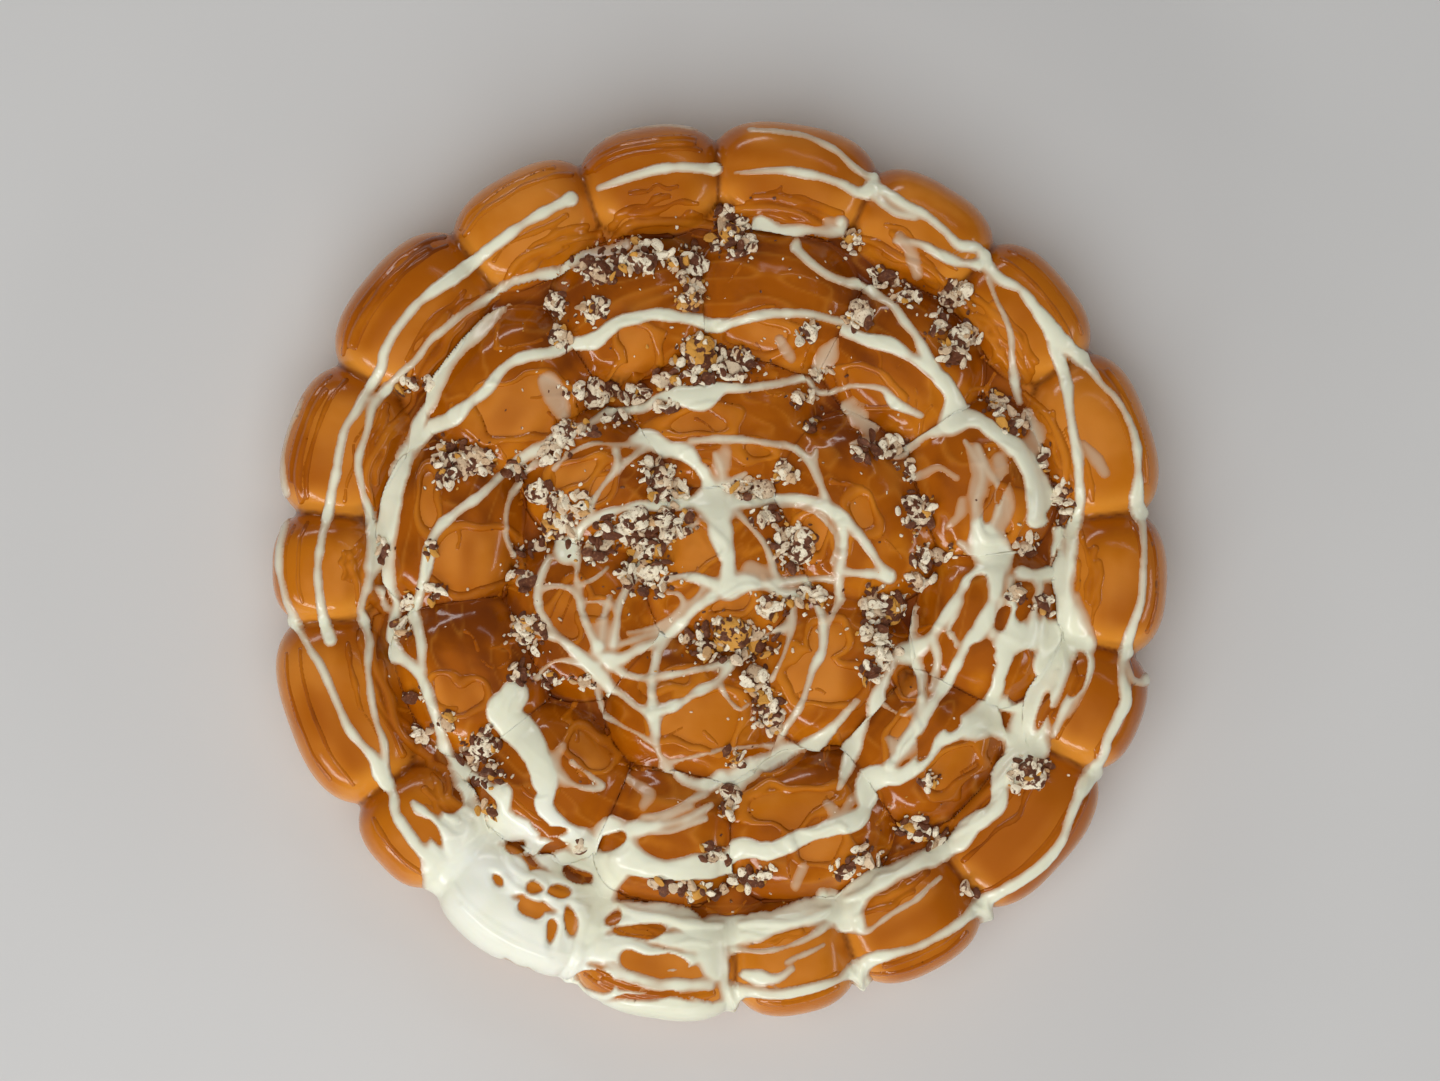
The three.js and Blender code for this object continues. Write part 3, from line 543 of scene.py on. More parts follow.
# The pool at the lower left: wide strokes of (angle, radius, width)
POOL = [
    [(226, 106, 8), (228, 115, 14), (227, 124, 18), (229, 134, 22), (233, 142, 20), (236, 147, 16),
     (239, 150.5, 12)],
    [(243, 103, 10), (249.5, 105, 11), (249.5, 115, 11), (249.5, 125, 13), (247, 136, 14), (249, 146, 12),
     (250, 150, 8)],
    [(228, 115, 10), (234, 112, 10), (241, 113, 8), (247, 115, 10)],
    [(230, 127, 12), (237, 125, 12), (243, 122, 9), (249, 126, 11)],
    [(233, 139, 14), (240, 136, 12), (247, 136, 14)],
    [(237, 146, 12), (243, 144, 10), (248, 145, 12)],
    [(249, 146, 10), (254, 149, 10), (259, 151, 11), (264, 151, 11), (268.5, 150.5, 9), (271, 149, 6)],
    [(248, 136, 9), (254, 134, 8), (259, 133, 7), (264, 133, 5), (268, 131, 4)],
    [(222, 110, 5), (221, 118, 5), (224, 126, 7)],
    [(249.5, 125, 10), (256, 121, 8), (262, 119, 7)],
]

# Bare islands in the icing: (x, y, length, width, turn)
ISLANDS = [
    (-63.5, -114.5, 11, 7, -35), (-53.8, -109.5, 8, 5.4, -20), (-55.5, -122.5, 3.6, 5, 0),
    (-50.4, -119.5, 3.4, 8, 0), (-62.5, -107.8, 6, 2.6, -12), (-69, -93.5, 9.5, 5, 20),
    (-56, -95, 11, 2.8, 5), (-47.5, -103.2, 12, 4.8, -25), (-61, -86.5, 12, 3.6, -55), (-56, -90.4, 9, 3, 0),
    (-98.5, -89, 13, 3.6, -52), (-93, -77, 14, 10, -40), (-80.5, -76.5, 12, 4, -60),
    (-42.4, -138.3, 15, 6, -12), (-22.3, -132.9, 23, 7, -6), (-27, -121.5, 18, 5, 2), (-37, -92, 9, 5, 20),
    (-36, -118, 8, 4, 30), (-75.5, -105.4, 4.5, 2.8, -20), (-22, -145, 26, 2.4, -2), (86.5, -6, 9, 6, 70),
    (81.5, -17.5, 13, 5.5, 60), (94.2, -17.5, 8, 4.6, 60), (102, -14, 9, 4.4, 60), (84.5, -38.5, 18, 8.5, 60),
    (101, -36, 18, 8.5, 65), (119, -35.5, 15, 4.6, 80), (107.6, -48, 15, 3.6, 65), (75.5, -31, 11, 4.6, 60),
    (110, -12.5, 13, 4, 85), (88, -29, 9, 5.5, 30), (78, -53, 8, 4, 40), (67.5, -60.5, 9, 3.4, 50),
    (112.4, 1.5, 8, 2.4, 85), (89.3, 20, 9, 4.4, 75), (95.2, 25, 10, 3.6, 80),
]

# Where the caramel lies thin over light crust: (x, y, length, width, turn)
LIGHT_PATCHES = [
    (-67.2, 52.5, 33, 20, 10), (-82.3, 2.2, 32, 23, 5), (-27, 72.6, 15, 13, 0), (11.6, 76.6, 22, 10, 4),
    (-7, -51.8, 29, 17, 8), (-53, -15.5, 14, 18, -20), (-41.2, -14.6, 9, 8, 0), (-47.5, 32, 17, 8, 10),
    (33.5, -39, 27, 17, -20), (36, -25, 12, 12, 0), (23.3, -79.9, 33, 12, 8), (33.4, -95, 18, 11, 0),
    (78.6, -68.2, 21, 13, 30), (-10.5, 5, 18, 13, 25), (-89, -43.1, 18, 13, -20), (33, 12, 9, 17, -20),
    (-8, 48, 22, 8, 3), (-43, -62, 15, 11, -20), (20, -66, 12, 7, 20), (48, 60, 18, 9, -20),
    (-97, -70, 16, 10, -50), (62, -38, 9, 11, 10), (95, 20, 11, 16, 0), (-98, 22, 9, 20, -10),
    (-41, 27, 7, 15, -40), (-15, -38.5, 12, 5, 8), (12, 38.5, 11, 5, 10), (-36, 62, 12, 7, 20),
    (60, -58, 8, 14, -20), (43, 9, 5, 9, 0), (47, 18, 7, 13, 30), (4, -13, 16, 6, 25),
]

# Chopped pecans: (x, y, length, width) of each heap
NUT_HEAPS = [
    (4.9, 110.4, 16, 13), (2.2, 117.8, 9, 6), (-10.9, 101.7, 13, 13), (-10.2, 91, 11, 10),
    (-26.3, 103, 20, 10), (-40.4, 100, 17, 10), (-54.5, 88.3, 7, 7), (-42.4, 85.6, 8, 8), (-53.1, 76.3, 8, 8),
    (-7, 69.6, 18, 17), (5.9, 67.5, 13, 12), (-48.4, 58.8, 10, 5), (-39, 57.5, 9, 6), (-29, 57.5, 11, 6),
    (-17.6, 62.2, 10, 6), (-16.9, 52.8, 9, 6), (-35.7, 48.8, 9, 5), (-45, 45.4, 9, 5), (-52.5, 42, 6, 12),
    (-58.5, 38, 9, 6), (-68.5, 33.4, 9, 6), (-86.7, 36, 20, 13), (-92, 29.3, 9, 7), (-79.3, 36, 9, 8),
    (-104.8, 61.5, 6, 6), (-98, 62.8, 6, 5), (-60.5, 25.3, 8, 7), (-51.1, 20.6, 14, 9), (-53.8, 14.6, 12, 8),
    (-62.5, 6.5, 11, 7), (-34.4, 10.6, 16, 12), (-25, 8.5, 15, 11), (-17, 13.9, 14, 11), (-43.7, 5.2, 13, 9),
    (-22.3, 32, 12, 8), (-16.9, 25.3, 14, 11), (-24.3, -3.5, 19, 14), (-64.5, -22.3, 12, 13),
    (-65.2, -5.5, 9, 8), (-95, -7.9, 6, 7), (-104, -11.2, 6, 7), (-105.8, -21.3, 6, 8), (-67.2, -35.7, 7, 7),
    (-55.1, -37, 9, 5), (-45.8, -38.4, 8, 5), (3.9, -25, 33, 15), (17.9, -13, 12, 8), (30, -10.2, 14, 8),
    (24.6, 7.2, 15, 15), (14.6, 15.9, 10, 8), (7.2, 26, 13, 8), (22, 32, 9, 8), (26, 56.8, 9, 6),
    (30.3, 46.8, 7, 6), (49.4, 38.7, 12, 7), (57.5, 40, 11, 6), (65.5, 18.6, 12, 13), (62.2, 31, 7, 6),
    (76.3, 5.2, 9, 6), (66.9, 3.9, 9, 7), (65.5, -4.2, 9, 6), (51.5, -11.6, 10, 13), (58.2, -12.9, 9, 10),
    (52.8, -21.6, 11, 11), (53.5, -29.7, 10, 10), (50.8, -35.7, 7, 7), (11.9, -37.7, 9, 12),
    (15.3, -45, 10, 11), (15.3, -51.1, 10, 9), (2.5, -78.6, 8, 13), (4.5, -63.8, 7, 7), (-2.9, -96, 10, 6),
    (-16.9, -106.8, 13, 5), (-5.5, -108.1, 13, 5), (8.5, -104.1, 13, 6), (15.3, -102.7, 9, 5),
    (48.1, -97.4, 12, 7), (40.7, -101.4, 9, 6), (64.2, -86.7, 12, 8), (72.2, -90.7, 9, 6),
    (105.1, -67.2, 12, 10), (98.4, -71.9, 7, 6), (-78.6, -58.5, 10, 10), (-83.3, -61.8, 8, 9),
    (-77.3, -69.2, 10, 10), (-99.4, -55.1, 8, 7), (-90.7, -51.5, 7, 6), (-102.7, -43.1, 7, 5),
    (113.8, 22, 7, 17), (102.4, 7.9, 9, 8), (91.7, 54.1, 9, 9), (97.7, 46.8, 8, 8), (79.6, 92.3, 10, 9),
    (77.6, 71.6, 9, 11), (73.6, 80.9, 8, 9), (83.6, 77.6, 8, 8), (54.8, 96.4, 10, 9), (62.2, 91, 9, 8),
    (44.1, 108.4, 9, 8), (46.1, 83.6, 12, 8), (29.3, 79, 8, 7), (108.4, -12.9, 9, 7), (98.4, -8.9, 7, 6),
    (83, -108.8, 5, 5), (-77.3, -82, 6, 7), (-47.1, -93.4, 7, 5), (-97, 6, 6, 6), (-112, 6, 5, 8),
    (108, 36, 6, 9), (70, -72, 7, 6), (34, 66, 8, 6),
]


PLANE_REACH = 168.0
PLANE_STEP = 0.3
PATH_STEP = 0.5
WANDER = 0.35  # how far a strand strays to each side of its knots
JOIN = 1.1  # strands that come close run together sooner when this is small
FAR_OUT = -4.0  # the lowest distance that is kept for points outside a coat
OUTER_FROM = 128.0  # strands that start past this radius are made a little thinner than listed
OUTER_THINNED = 0.9
CURLS = 110
CURL_REACH = 119.0
CURL_STEP = 2.6
LIP_HALF = 1.25
SHEET_EDGE = 120.5  # the caramel ends about here, and beyond it the outer buns are bare

# Ridges along each outer bun: (how far out from its middle, as a share; width)
OUTER_RIDGES = ((0.86, 1.4), (0.72, 1.9), (0.6, 1.4))
RIDGE_MISSING = 0.3

# Folds of the sheet across each outer bun: (radius, width)
FOLDS = ((127.5, 1.6), (124.5, 2.2), (122, 1.8), (119, 2.2))


def window(axis, low, high):
    """The first and last grid lines around the stretch from low to high"""
    first = int((low - axis[0]) / PLANE_STEP)
    last = int((high - axis[0]) / PLANE_STEP) + 2
    return max(first, 0), min(last, len(axis))


class Coat:
    """Icing or caramel poured on the picture plane, as strokes that run together."""

    def __init__(self, axis):
        self.axis = axis
        self.total = np.zeros((len(axis), len(axis)))
        self.crown = np.zeros_like(self.total)

    def stroke(self, knots, seed, highest=1.5, uneven=0.16):
        """Adds a strand through knots of (x, y, width)."""
        random = np.random.default_rng(SEED * 50 + seed)
        path = np.array(along_curve(knots, PATH_STEP))
        run = np.arange(len(path)) * PATH_STEP + random.uniform(0, 1000)
        xs = path[:, 0] + WANDER * noise(run, 3.0, 7.0, 11)
        ys = path[:, 1] + WANDER * noise(run, 9.0, 7.0, 12)
        swell = 1 + uneven * noise(run, 0.0, 6.0, 13) + 0.5 * uneven * noise(run, 5.0, 2.6, 14)
        halves = np.maximum(path[:, 2] * swell / 2, 0.4)
        rises = clamp(0.45 * halves, 0.3, highest)
        reach = halves.max() - FAR_OUT
        i0, i1 = window(self.axis, xs.min() - reach, xs.max() + reach)
        j0, j1 = window(self.axis, ys.min() - reach, ys.max() + reach)
        edge = np.full((i1 - i0, j1 - j0), FAR_OUT)
        crown = np.zeros_like(edge)
        for x, y, half, rise in zip(xs, ys, halves, rises):
            reach = half - FAR_OUT
            a, b = window(self.axis, x - reach, x + reach)
            c, d = window(self.axis, y - reach, y + reach)
            part = slice(a - i0, b - i0), slice(c - j0, d - j0)
            distance = np.hypot(self.axis[a:b, None] - x, self.axis[None, c:d] - y)
            edge[part] = np.maximum(edge[part], half - distance)
            crown[part] = np.maximum(crown[part], rise * np.sqrt(clamp(1 - (distance / half) ** 2.3)))
        self.total[i0:i1, j0:j1] += np.where(edge > FAR_OUT, np.exp(JOIN * edge), 0)
        self.crown[i0:i1, j0:j1] += crown**4

    def edge(self):
        """How far each point is inside the coat; negative outside it"""
        return np.log(self.total + 1e-3) / JOIN

    def height(self):
        return self.crown**0.25


class Plane:
    """Fields on the level picture plane, as the camera sees the loaf."""

    def __init__(self):
        count = int(PLANE_REACH / PLANE_STEP)
        self.axis = np.arange(-count, count + 1) * PLANE_STEP
        self.x, self.y = np.meshgrid(self.axis, self.axis, indexing="ij")
        self.radius = np.hypot(self.x, self.y)
        self.angle = np.degrees(np.arctan2(self.y, self.x))
        self.find_outer_buns()
        self.draw_icing()
        self.draw_caramel()

    def find_outer_buns(self):
        """Which outer bun a direction lies in, and where in it: -1 and 1 at its seams"""
        starts = np.array(SEAMS[3])
        turn = (self.angle - starts[0]) % 360 + starts[0]
        self.bun = np.searchsorted(starts, turn, side="right") - 1
        ends = np.append(starts[1:], starts[0] + 360)
        half = (ends - starts) / 2
        self.across = (turn - (starts + half)[self.bun]) / half[self.bun]
        self.from_seam = (1 - np.abs(self.across)) * np.radians(half)[self.bun] * self.radius

    def island(self, x, y, length, width, turn, wobble, seed):
        """The part of the plane round an uneven oval, and how far each point there is outside the oval"""
        reach = max(length, width) * 0.8 + 6
        part = tuple(slice(*window(self.axis, middle - reach, middle + reach)) for middle in (x, y))
        near_x = self.x[part]
        near_y = self.y[part]
        c = math.cos(math.radians(turn))
        s = math.sin(math.radians(turn))
        dx = near_x - x + wobble * noise(near_x, near_y, 8.0, seed)
        dy = near_y - y + wobble * noise(near_x, near_y, 8.0, seed + 1)
        along = (dx * c + dy * s) / (length / 2)
        across = (dy * c - dx * s) / (width / 2)
        level = (np.abs(along) ** 2.2 + np.abs(across) ** 2.2) ** (1 / 2.2)
        return part, (level - 1) * min(length, width) / 2

    def cut_out(self, edge, ovals, wobble, seed, seed_step=0):
        """Takes ovals of (x, y, length, width, turn) out of a coat's edge field"""
        for k, oval in enumerate(ovals):
            part, outside = self.island(*oval, wobble, seed + seed_step * k)
            edge[part] = np.minimum(edge[part], outside)

    def draw_icing(self):
        coat = Coat(self.axis)
        for seed, strokes in enumerate(POOL):
            coat.stroke(from_polar(strokes), seed + 300, uneven=0.3)
        for seed, strand in enumerate(STRANDS):
            share = OUTER_THINNED if strand[0][1] > OUTER_FROM else 1.0
            coat.stroke([(x, y, width * share) for x, y, width in from_polar(strand)], seed)
        for seed, strand in enumerate(FILMS):
            coat.stroke(strand, seed + 200, highest=0.2, uneven=0.3)
        for seed, strand in enumerate(WEB):
            coat.stroke(strand, seed + 100, highest=1.0, uneven=0.25)
        edge = coat.edge()
        self.cut_out(edge, ISLANDS, 2.0, 41)
        film = 0.22 * (1 - np.exp(-np.maximum(edge, 0) / 0.5))
        height = blurred(np.maximum(coat.height(), film), 1)
        self.icing_edge = edge
        self.icing_height = np.minimum(height, 1.2 * np.sqrt(np.maximum(edge, 0)))

    def draw_caramel(self):
        """Sheets of caramel that leave light crust bare, with rounded lips, ridges and folds on them"""
        random = np.random.default_rng(SEED + 5)
        count = len(SEAMS[3])
        drift = ring_noise(self.angle, self.radius, 6.0, 8.0, 61)
        ends = SHEET_EDGE + random.uniform(-2.5, 2.5, count)[self.bun]
        edge = ends - 3 * self.across**2 + 2.4 * drift - self.radius
        self.cut_out(edge, LIGHT_PATCHES, 3.2, 200, 3)
        ridges = Coat(self.axis)
        for i, (start, end) in enumerate(spans(SEAMS[3])):
            self.draw_ridges(ridges, random, i, (start + end) / 2, (end - start) / 2)
        for seed in range(CURLS):
            self.curl(ridges, random, 600 + seed)
        beside = np.abs(edge - 0.9) / LIP_HALF
        self.ridge_edge = np.maximum(ridges.edge(), LIP_HALF * (1 - beside))
        height = np.maximum(ridges.height(), 0.75 * np.sqrt(clamp(1 - beside**2)))
        self.ridge_height = np.minimum(height, 1.1 * np.sqrt(np.maximum(self.ridge_edge, 0)))
        inside = np.maximum(edge, 0)
        flow = ring_noise(self.angle, self.radius, 9.0, 4.5, 21)
        self.caramel_wrinkle = clamp(1 - np.abs(flow) * 6) ** 1.5 * smooth(1.5, 4, edge)
        height = 0.7 * (1 - np.exp(-inside / 0.5)) + 0.3 * self.caramel_wrinkle
        self.caramel_edge = edge
        self.caramel_height = np.minimum(blurred(height, 1), 1.5 * np.sqrt(inside))
        tone = random.uniform(-1, 1, count)[self.bun] * smooth(114, 120, self.radius)
        pooled = layered_noise(self.x, self.y, 26.0, 27)
        streaks = ring_noise(self.angle, self.radius, 8.0, 5.0, 33)
        self.caramel_depth = 0.6 + 0.45 * pooled + 0.3 * tone + 0.3 * streaks

    def draw_ridges(self, coat, random, bun, middle, half):
        """Ridges along an outer bun's outline, and folds of the sheet on its inner side"""
        centre = (RING_EDGES[3] + REACHES[bun]) / 2
        for share, width in OUTER_RIDGES:
            if random.uniform() < RIDGE_MISSING:
                continue
            share += random.uniform(-0.03, 0.03)
            knots = []
            for t in np.linspace(random.uniform(-0.97, -0.6), random.uniform(0.6, 0.97), 9):
                outline = (1 - (abs(t) / PRESSED) ** PLAN_POWER) ** (1 / PLAN_POWER)
                radius = centre + share * (REACHES[bun] - centre) * outline
                knots.append((middle + half * t, radius, width * random.uniform(0.85, 1.2)))
            coat.stroke(from_polar(knots), 500 + bun, highest=0.7, uneven=0.1)
        for base, width in FOLDS:
            base += random.uniform(-1.5, 1.5)
            knots = []
            for t in np.linspace(random.uniform(-0.9, -0.2), random.uniform(0.2, 0.9), 6):
                radius = base - 2.5 * t * t + random.uniform(-1.1, 1.1)
                knots.append((middle + half * t, radius, width * random.uniform(0.5, 1.4)))
            coat.stroke(from_polar(knots), 550 + bun, highest=0.9, uneven=0.4)

    def curl(self, coat, random, seed):
        """A short curved fold of caramel, somewhere on the inner rings"""
        x, y = random_spot(random, CURL_REACH)
        way = random.uniform(0, 2 * math.pi)
        bend = random.uniform(-0.5, 0.5)
        width = random.uniform(0.7, 1.5)
        knots = []
        for _ in range(random.integers(4, 8)):
            knots.append((x, y, width * random.uniform(0.6, 1.3)))
            way += bend + random.uniform(-0.25, 0.25)
            x += CURL_STEP * math.cos(way)
            y += CURL_STEP * math.sin(way)
        coat.stroke(knots, seed, highest=0.7, uneven=0.3)


def random_spot(random, reach):
    radius = reach * math.sqrt(random.uniform(0, 1))
    return from_polar([(random.uniform(0, 360), radius, 0)])[0][:2]


def from_polar(knots):
    return [
        (radius * math.cos(math.radians(angle)), radius * math.sin(math.radians(angle)), width)
        for angle, radius, width in knots
    ]


def along_curve(knots, step):
    """Points at about equal steps along a smooth curve through knots of (x, y, width)."""
    points = np.array(knots, float)
    ends = [2 * points[0] - points[1], *points, 2 * points[-1] - points[-2]]
    result = []
    for i in range(1, len(ends) - 2):
        a, b, c, d = ends[i - 1], ends[i], ends[i + 1], ends[i + 2]
        count = max(int(np.hypot(*(c - b)[:2]) / step), 1)
        for t in np.arange(count) / count:
            bent = (c - a) * t + (2 * a - 5 * b + 4 * c - d) * t**2 + (3 * b - a - 3 * c + d) * t**3
            point = b + 0.5 * bent
            point[2] = b[2] + (c[2] - b[2]) * t
            result.append(point)
    result.append(points[-1])
    return result


def blurred(field, cells):
    """The field averaged over a square of 2 cells + 1 each way, three times."""
    for _ in range(3):
        for axis in (-2, -1):
            pad = [(0, 0)] * field.ndim
            pad[axis] = (cells + 1, cells)
            total = np.cumsum(np.pad(field, pad, mode="edge"), axis=axis)
            width = 2 * cells + 1
            size = field.shape[axis]
            high = np.take(total, range(width, width + size), axis=axis)
            low = np.take(total, range(size), axis=axis)
            field = (high - low) / width
    return field


CRUST_SUNK = 0.9  # the bare crust lies this far inside the solids, so that the caramel ends about on them
CRUST_UNEVEN = 0.5
SIDE_TURNS = (0.85, 1.5)  # radians past the rim between which the glazed top turns into the baked side
POOLED_WITHIN = (120, 112)  # caramel fills the creases inside these radii
FILL_CELLS = 6
DRAPE_CELLS = 4
SEAM_CELLS = 10

# Where icing fills a seam that it runs over the edge in: (angle, how far round it)
DRIP_RADIUS = 147.0
DRIPS = ((-110, 17), (-15.3, 8), (-52.8, 8), (-71.1, 8), (-89.1, 8), (171, 6))


def sunk_below(level, surface, normal):
    """How far a surface lies under a level, along its normal"""
    return ((level - surface) * normal).sum(axis=0)


def dress(loaf, plane):
    """Lays caramel on the crust, and finds the surface that the icing drapes over."""
    x, y = loaf.seen
    loaf.side = smooth(*SIDE_TURNS, loaf.turn)
    uneven = CRUST_UNEVEN * layered_noise(loaf.point[0], loaf.point[1], 24.0, 31) * (1 - loaf.side * 0.5)
    off_floor = smooth(0, 2.5, loaf.point[2])
    loaf.crust = loaf.point + loaf.normal * ((uneven - CRUST_SUNK) * off_floor)
    loaf.crust[2] = np.maximum(loaf.crust[2], 0)
    loaf.crust_normal = loaf.normals(loaf.crust)
    # Caramel has run together in the creases of the inner rings.
    sunk = np.maximum(sunk_below(blurred(loaf.crust, FILL_CELLS), loaf.crust, loaf.crust_normal), 0)
    inner = smooth(*POOLED_WITHIN, np.hypot(x, y))
    loaf.fill = sunk * inner * smooth(0.2, 3.0, sample(plane.axis, plane.caramel_edge, x, y))
    thick = sample(plane.axis, plane.caramel_height, x, y) + loaf.fill
    loaf.surface = loaf.crust + loaf.crust_normal * thick
    loaf.surface_normal = loaf.normals(loaf.surface)
    ridge = sample(plane.axis, plane.ridge_height, x, y) * (1 - loaf.side)
    loaf.over = loaf.surface + loaf.surface_normal * ridge
    draped = blurred(loaf.over, DRAPE_CELLS)
    loaf.drape_normal = loaf.normals(draped)
    sag = np.maximum(sunk_below(draped, loaf.over, loaf.drape_normal), 0)
    wide = np.maximum(sunk_below(blurred(loaf.over, SEAM_CELLS), loaf.over, loaf.drape_normal), 0)
    run_over = np.zeros_like(x)
    for drip_x, drip_y, reach in from_polar([(angle, DRIP_RADIUS, reach) for angle, reach in DRIPS]):
        run_over = np.maximum(run_over, smooth(reach, reach / 2, np.hypot(x - drip_x, y - drip_y)))
    loaf.sag = np.maximum(sag * (1 - loaf.side), 1.5 * wide * run_over)
    near_seam = sample(plane.axis, plane.from_seam, x, y)
    outer = smooth(116, 122, np.hypot(x, y))
    # Painted light and shade: flanks near the seams are painted golden facing front and darker facing back.
    back = clamp(loaf.crust_normal[1] * 1.6, -1, 1)
    lit_front_flank = smooth(11.0, 2.0, near_seam) * clamp(-back + 0.15)
    low_edge = smooth(0.7, 1.15, loaf.turn) * 0.8
    # Gold: the golden lower edge of the outer buns, and painted light on the front flanks.
    loaf.gold = outer * np.maximum(lit_front_flank, low_edge) * (1 - loaf.crease)
    shaded_back_flank = back * smooth(14.0, 3.0, near_seam) * outer
    # Depth: darker caramel where it is thick, and painted shade on the back flanks.
    loaf.depth = sample(plane.axis, plane.caramel_depth, x, y) + 0.5 * shaded_back_flank


def add_mesh(name, points, faces, masks, material, smooth_shading=True):
    """A mesh of points in millimetres, with a value at each point for every named mask"""
    mesh = bpy.data.meshes.new(name)
    points = np.asarray(points, float) * MM
    faces = np.asarray(faces, np.int32)
    mesh.vertices.add(len(points))
    mesh.vertices.foreach_set("co", points.ravel())
    size = faces.shape[1]
    mesh.loops.add(faces.size)
    mesh.loops.foreach_set("vertex_index", faces.ravel())
    mesh.polygons.add(len(faces))
    mesh.polygons.foreach_set("loop_start", np.arange(len(faces), dtype=np.int32) * size)
    mesh.polygons.foreach_set("use_smooth", np.full(len(faces), smooth_shading))
    mesh.update(calc_edges=True)
    mesh.validate()
    for key, values in masks.items():
        layer = mesh.attributes.new(key, "FLOAT", "POINT")
        layer.data.foreach_set("value", np.asarray(values, np.float32))
    piece = bpy.data.objects.new(name, mesh)
    bpy.context.scene.collection.objects.link(piece)
    mesh.materials.append(material)
    return piece


SEAM_ANGLES = 7201
SEAM_HALF = 2.2
SEAM_DENSITY = 3.2  # how many times closer the points of the crust stand at the outer seams
CRUST_STEP = 1.2
CRUST_RINGS = 126
SIDE_RINGS = 14
UNDERSIDE_RINGS = (0.66, 0.33)


def seam_angles():
    """Angles round the loaf at even shares of its points, which stand closer at the outer seams"""
    angle = np.linspace(-np.pi, np.pi, SEAM_ANGLES)
    density = np.ones_like(angle)
    for seam in SEAMS[3]:
        away = np.abs(np.angle(np.exp(1j * (angle - math.radians(seam))))) * RING_EDGES[3] * 1.15
        density += SEAM_DENSITY * np.exp(-((away / SEAM_HALF) ** 2))
    total = np.concatenate([[0], np.cumsum((density[1:] + density[:-1]) / 2)])
    return total / total[-1], angle + np.pi


def ring_disc(radii):
    """Points of rings with 6 more on each, as u and v, and the triangles between them"""
    shares, angles = seam_angles()
    u = [0.0]
    v = [0.0]
    starts = [0]
    for k, radius in enumerate(radii, start=1):
        share = np.arange(6 * k) / (6 * k)
        gathered = smooth(RING_EDGES[3] - 8, RING_EDGES[3] + 4, radius)
        turn = np.pi + 2 * np.pi * share * (1 - gathered) + np.interp(share, shares, angles) * gathered
        starts.append(len(u))
        u.extend(radius * np.cos(turn))
        v.extend(radius * np.sin(turn))
    faces = [(0, 1 + i, 1 + (i + 1) % 6) for i in range(6)]
    for k in range(2, len(radii) + 1):
        inner = starts[k - 1]
        outer = starts[k]
        inner_count = 6 * (k - 1)
        outer_count = 6 * k
        for sector in range(6):
            for i in range(k):
                a = outer + (sector * k + i) % outer_count
                b = outer + (sector * k + i + 1) % outer_count
                c = inner + (sector * (k - 1) + i) % inner_count
                faces.append((c, a, b))
                if i < k - 1:
                    d = inner + (sector * (k - 1) + i + 1) % inner_count
                    faces.append((c, b, d))
    return np.array(u), np.array(v), np.array(faces), starts[-1]


def build_loaf(loaf, material):
    top = np.arange(1, CRUST_RINGS + 1) * CRUST_STEP
    side = top[-1] + np.arange(1, SIDE_RINGS + 1) * (UNROLLED - 0.5 - top[-1]) / SIDE_RINGS
    u, v, faces, last = ring_disc([*top, *side])
    points = sample(loaf.axis, loaf.crust, u, v).T
    masks = {key: sample(loaf.axis, getattr(loaf, key), u, v) for key in ("depth", "crease", "gold", "side")}
    count = len(u) - last
    start = len(points)
    under = [points[last:] * [share, share, 0] for share in UNDERSIDE_RINGS]
    points = np.concatenate([points, *under, np.zeros((1, 3))])
    around = np.arange(count)
    rings = [last + around, start + around, start + count + around]
    extra = []
    for outer, inner in zip(rings, rings[1:]):
        outer_next = np.roll(outer, -1)
        extra.append(np.stack([outer, inner, outer_next], axis=1))
        extra.append(np.stack([outer_next, inner, np.roll(inner, -1)], axis=1))
    middle = np.full(count, len(points) - 1)
    extra.append(np.stack([rings[2], middle, np.roll(rings[2], -1)], axis=1))
    faces = np.concatenate([faces, *extra])
    added = len(points) - len(u)
    masks = {key: np.concatenate([value, np.full(added, value[last])]) for key, value in masks.items()}
    return add_mesh("loaf", points, faces, masks, material)


# The grid of each coat: the size of its squares, and how far over the rim it reaches
ICING = (0.56, past_rim(1.75))
CARAMEL_SHEET = (0.7, past_rim(0.5))
CARAMEL_RIDGES = (0.48, past_rim(1.15))
EDGE_SUNK = 0.7  # how deep the edge of a coat is tucked into what it covers

# Where the pool's icing is whitest: whiter icing, partly a painted sheen
MILKY_SHEEN_MIDDLE = (-68, -116)


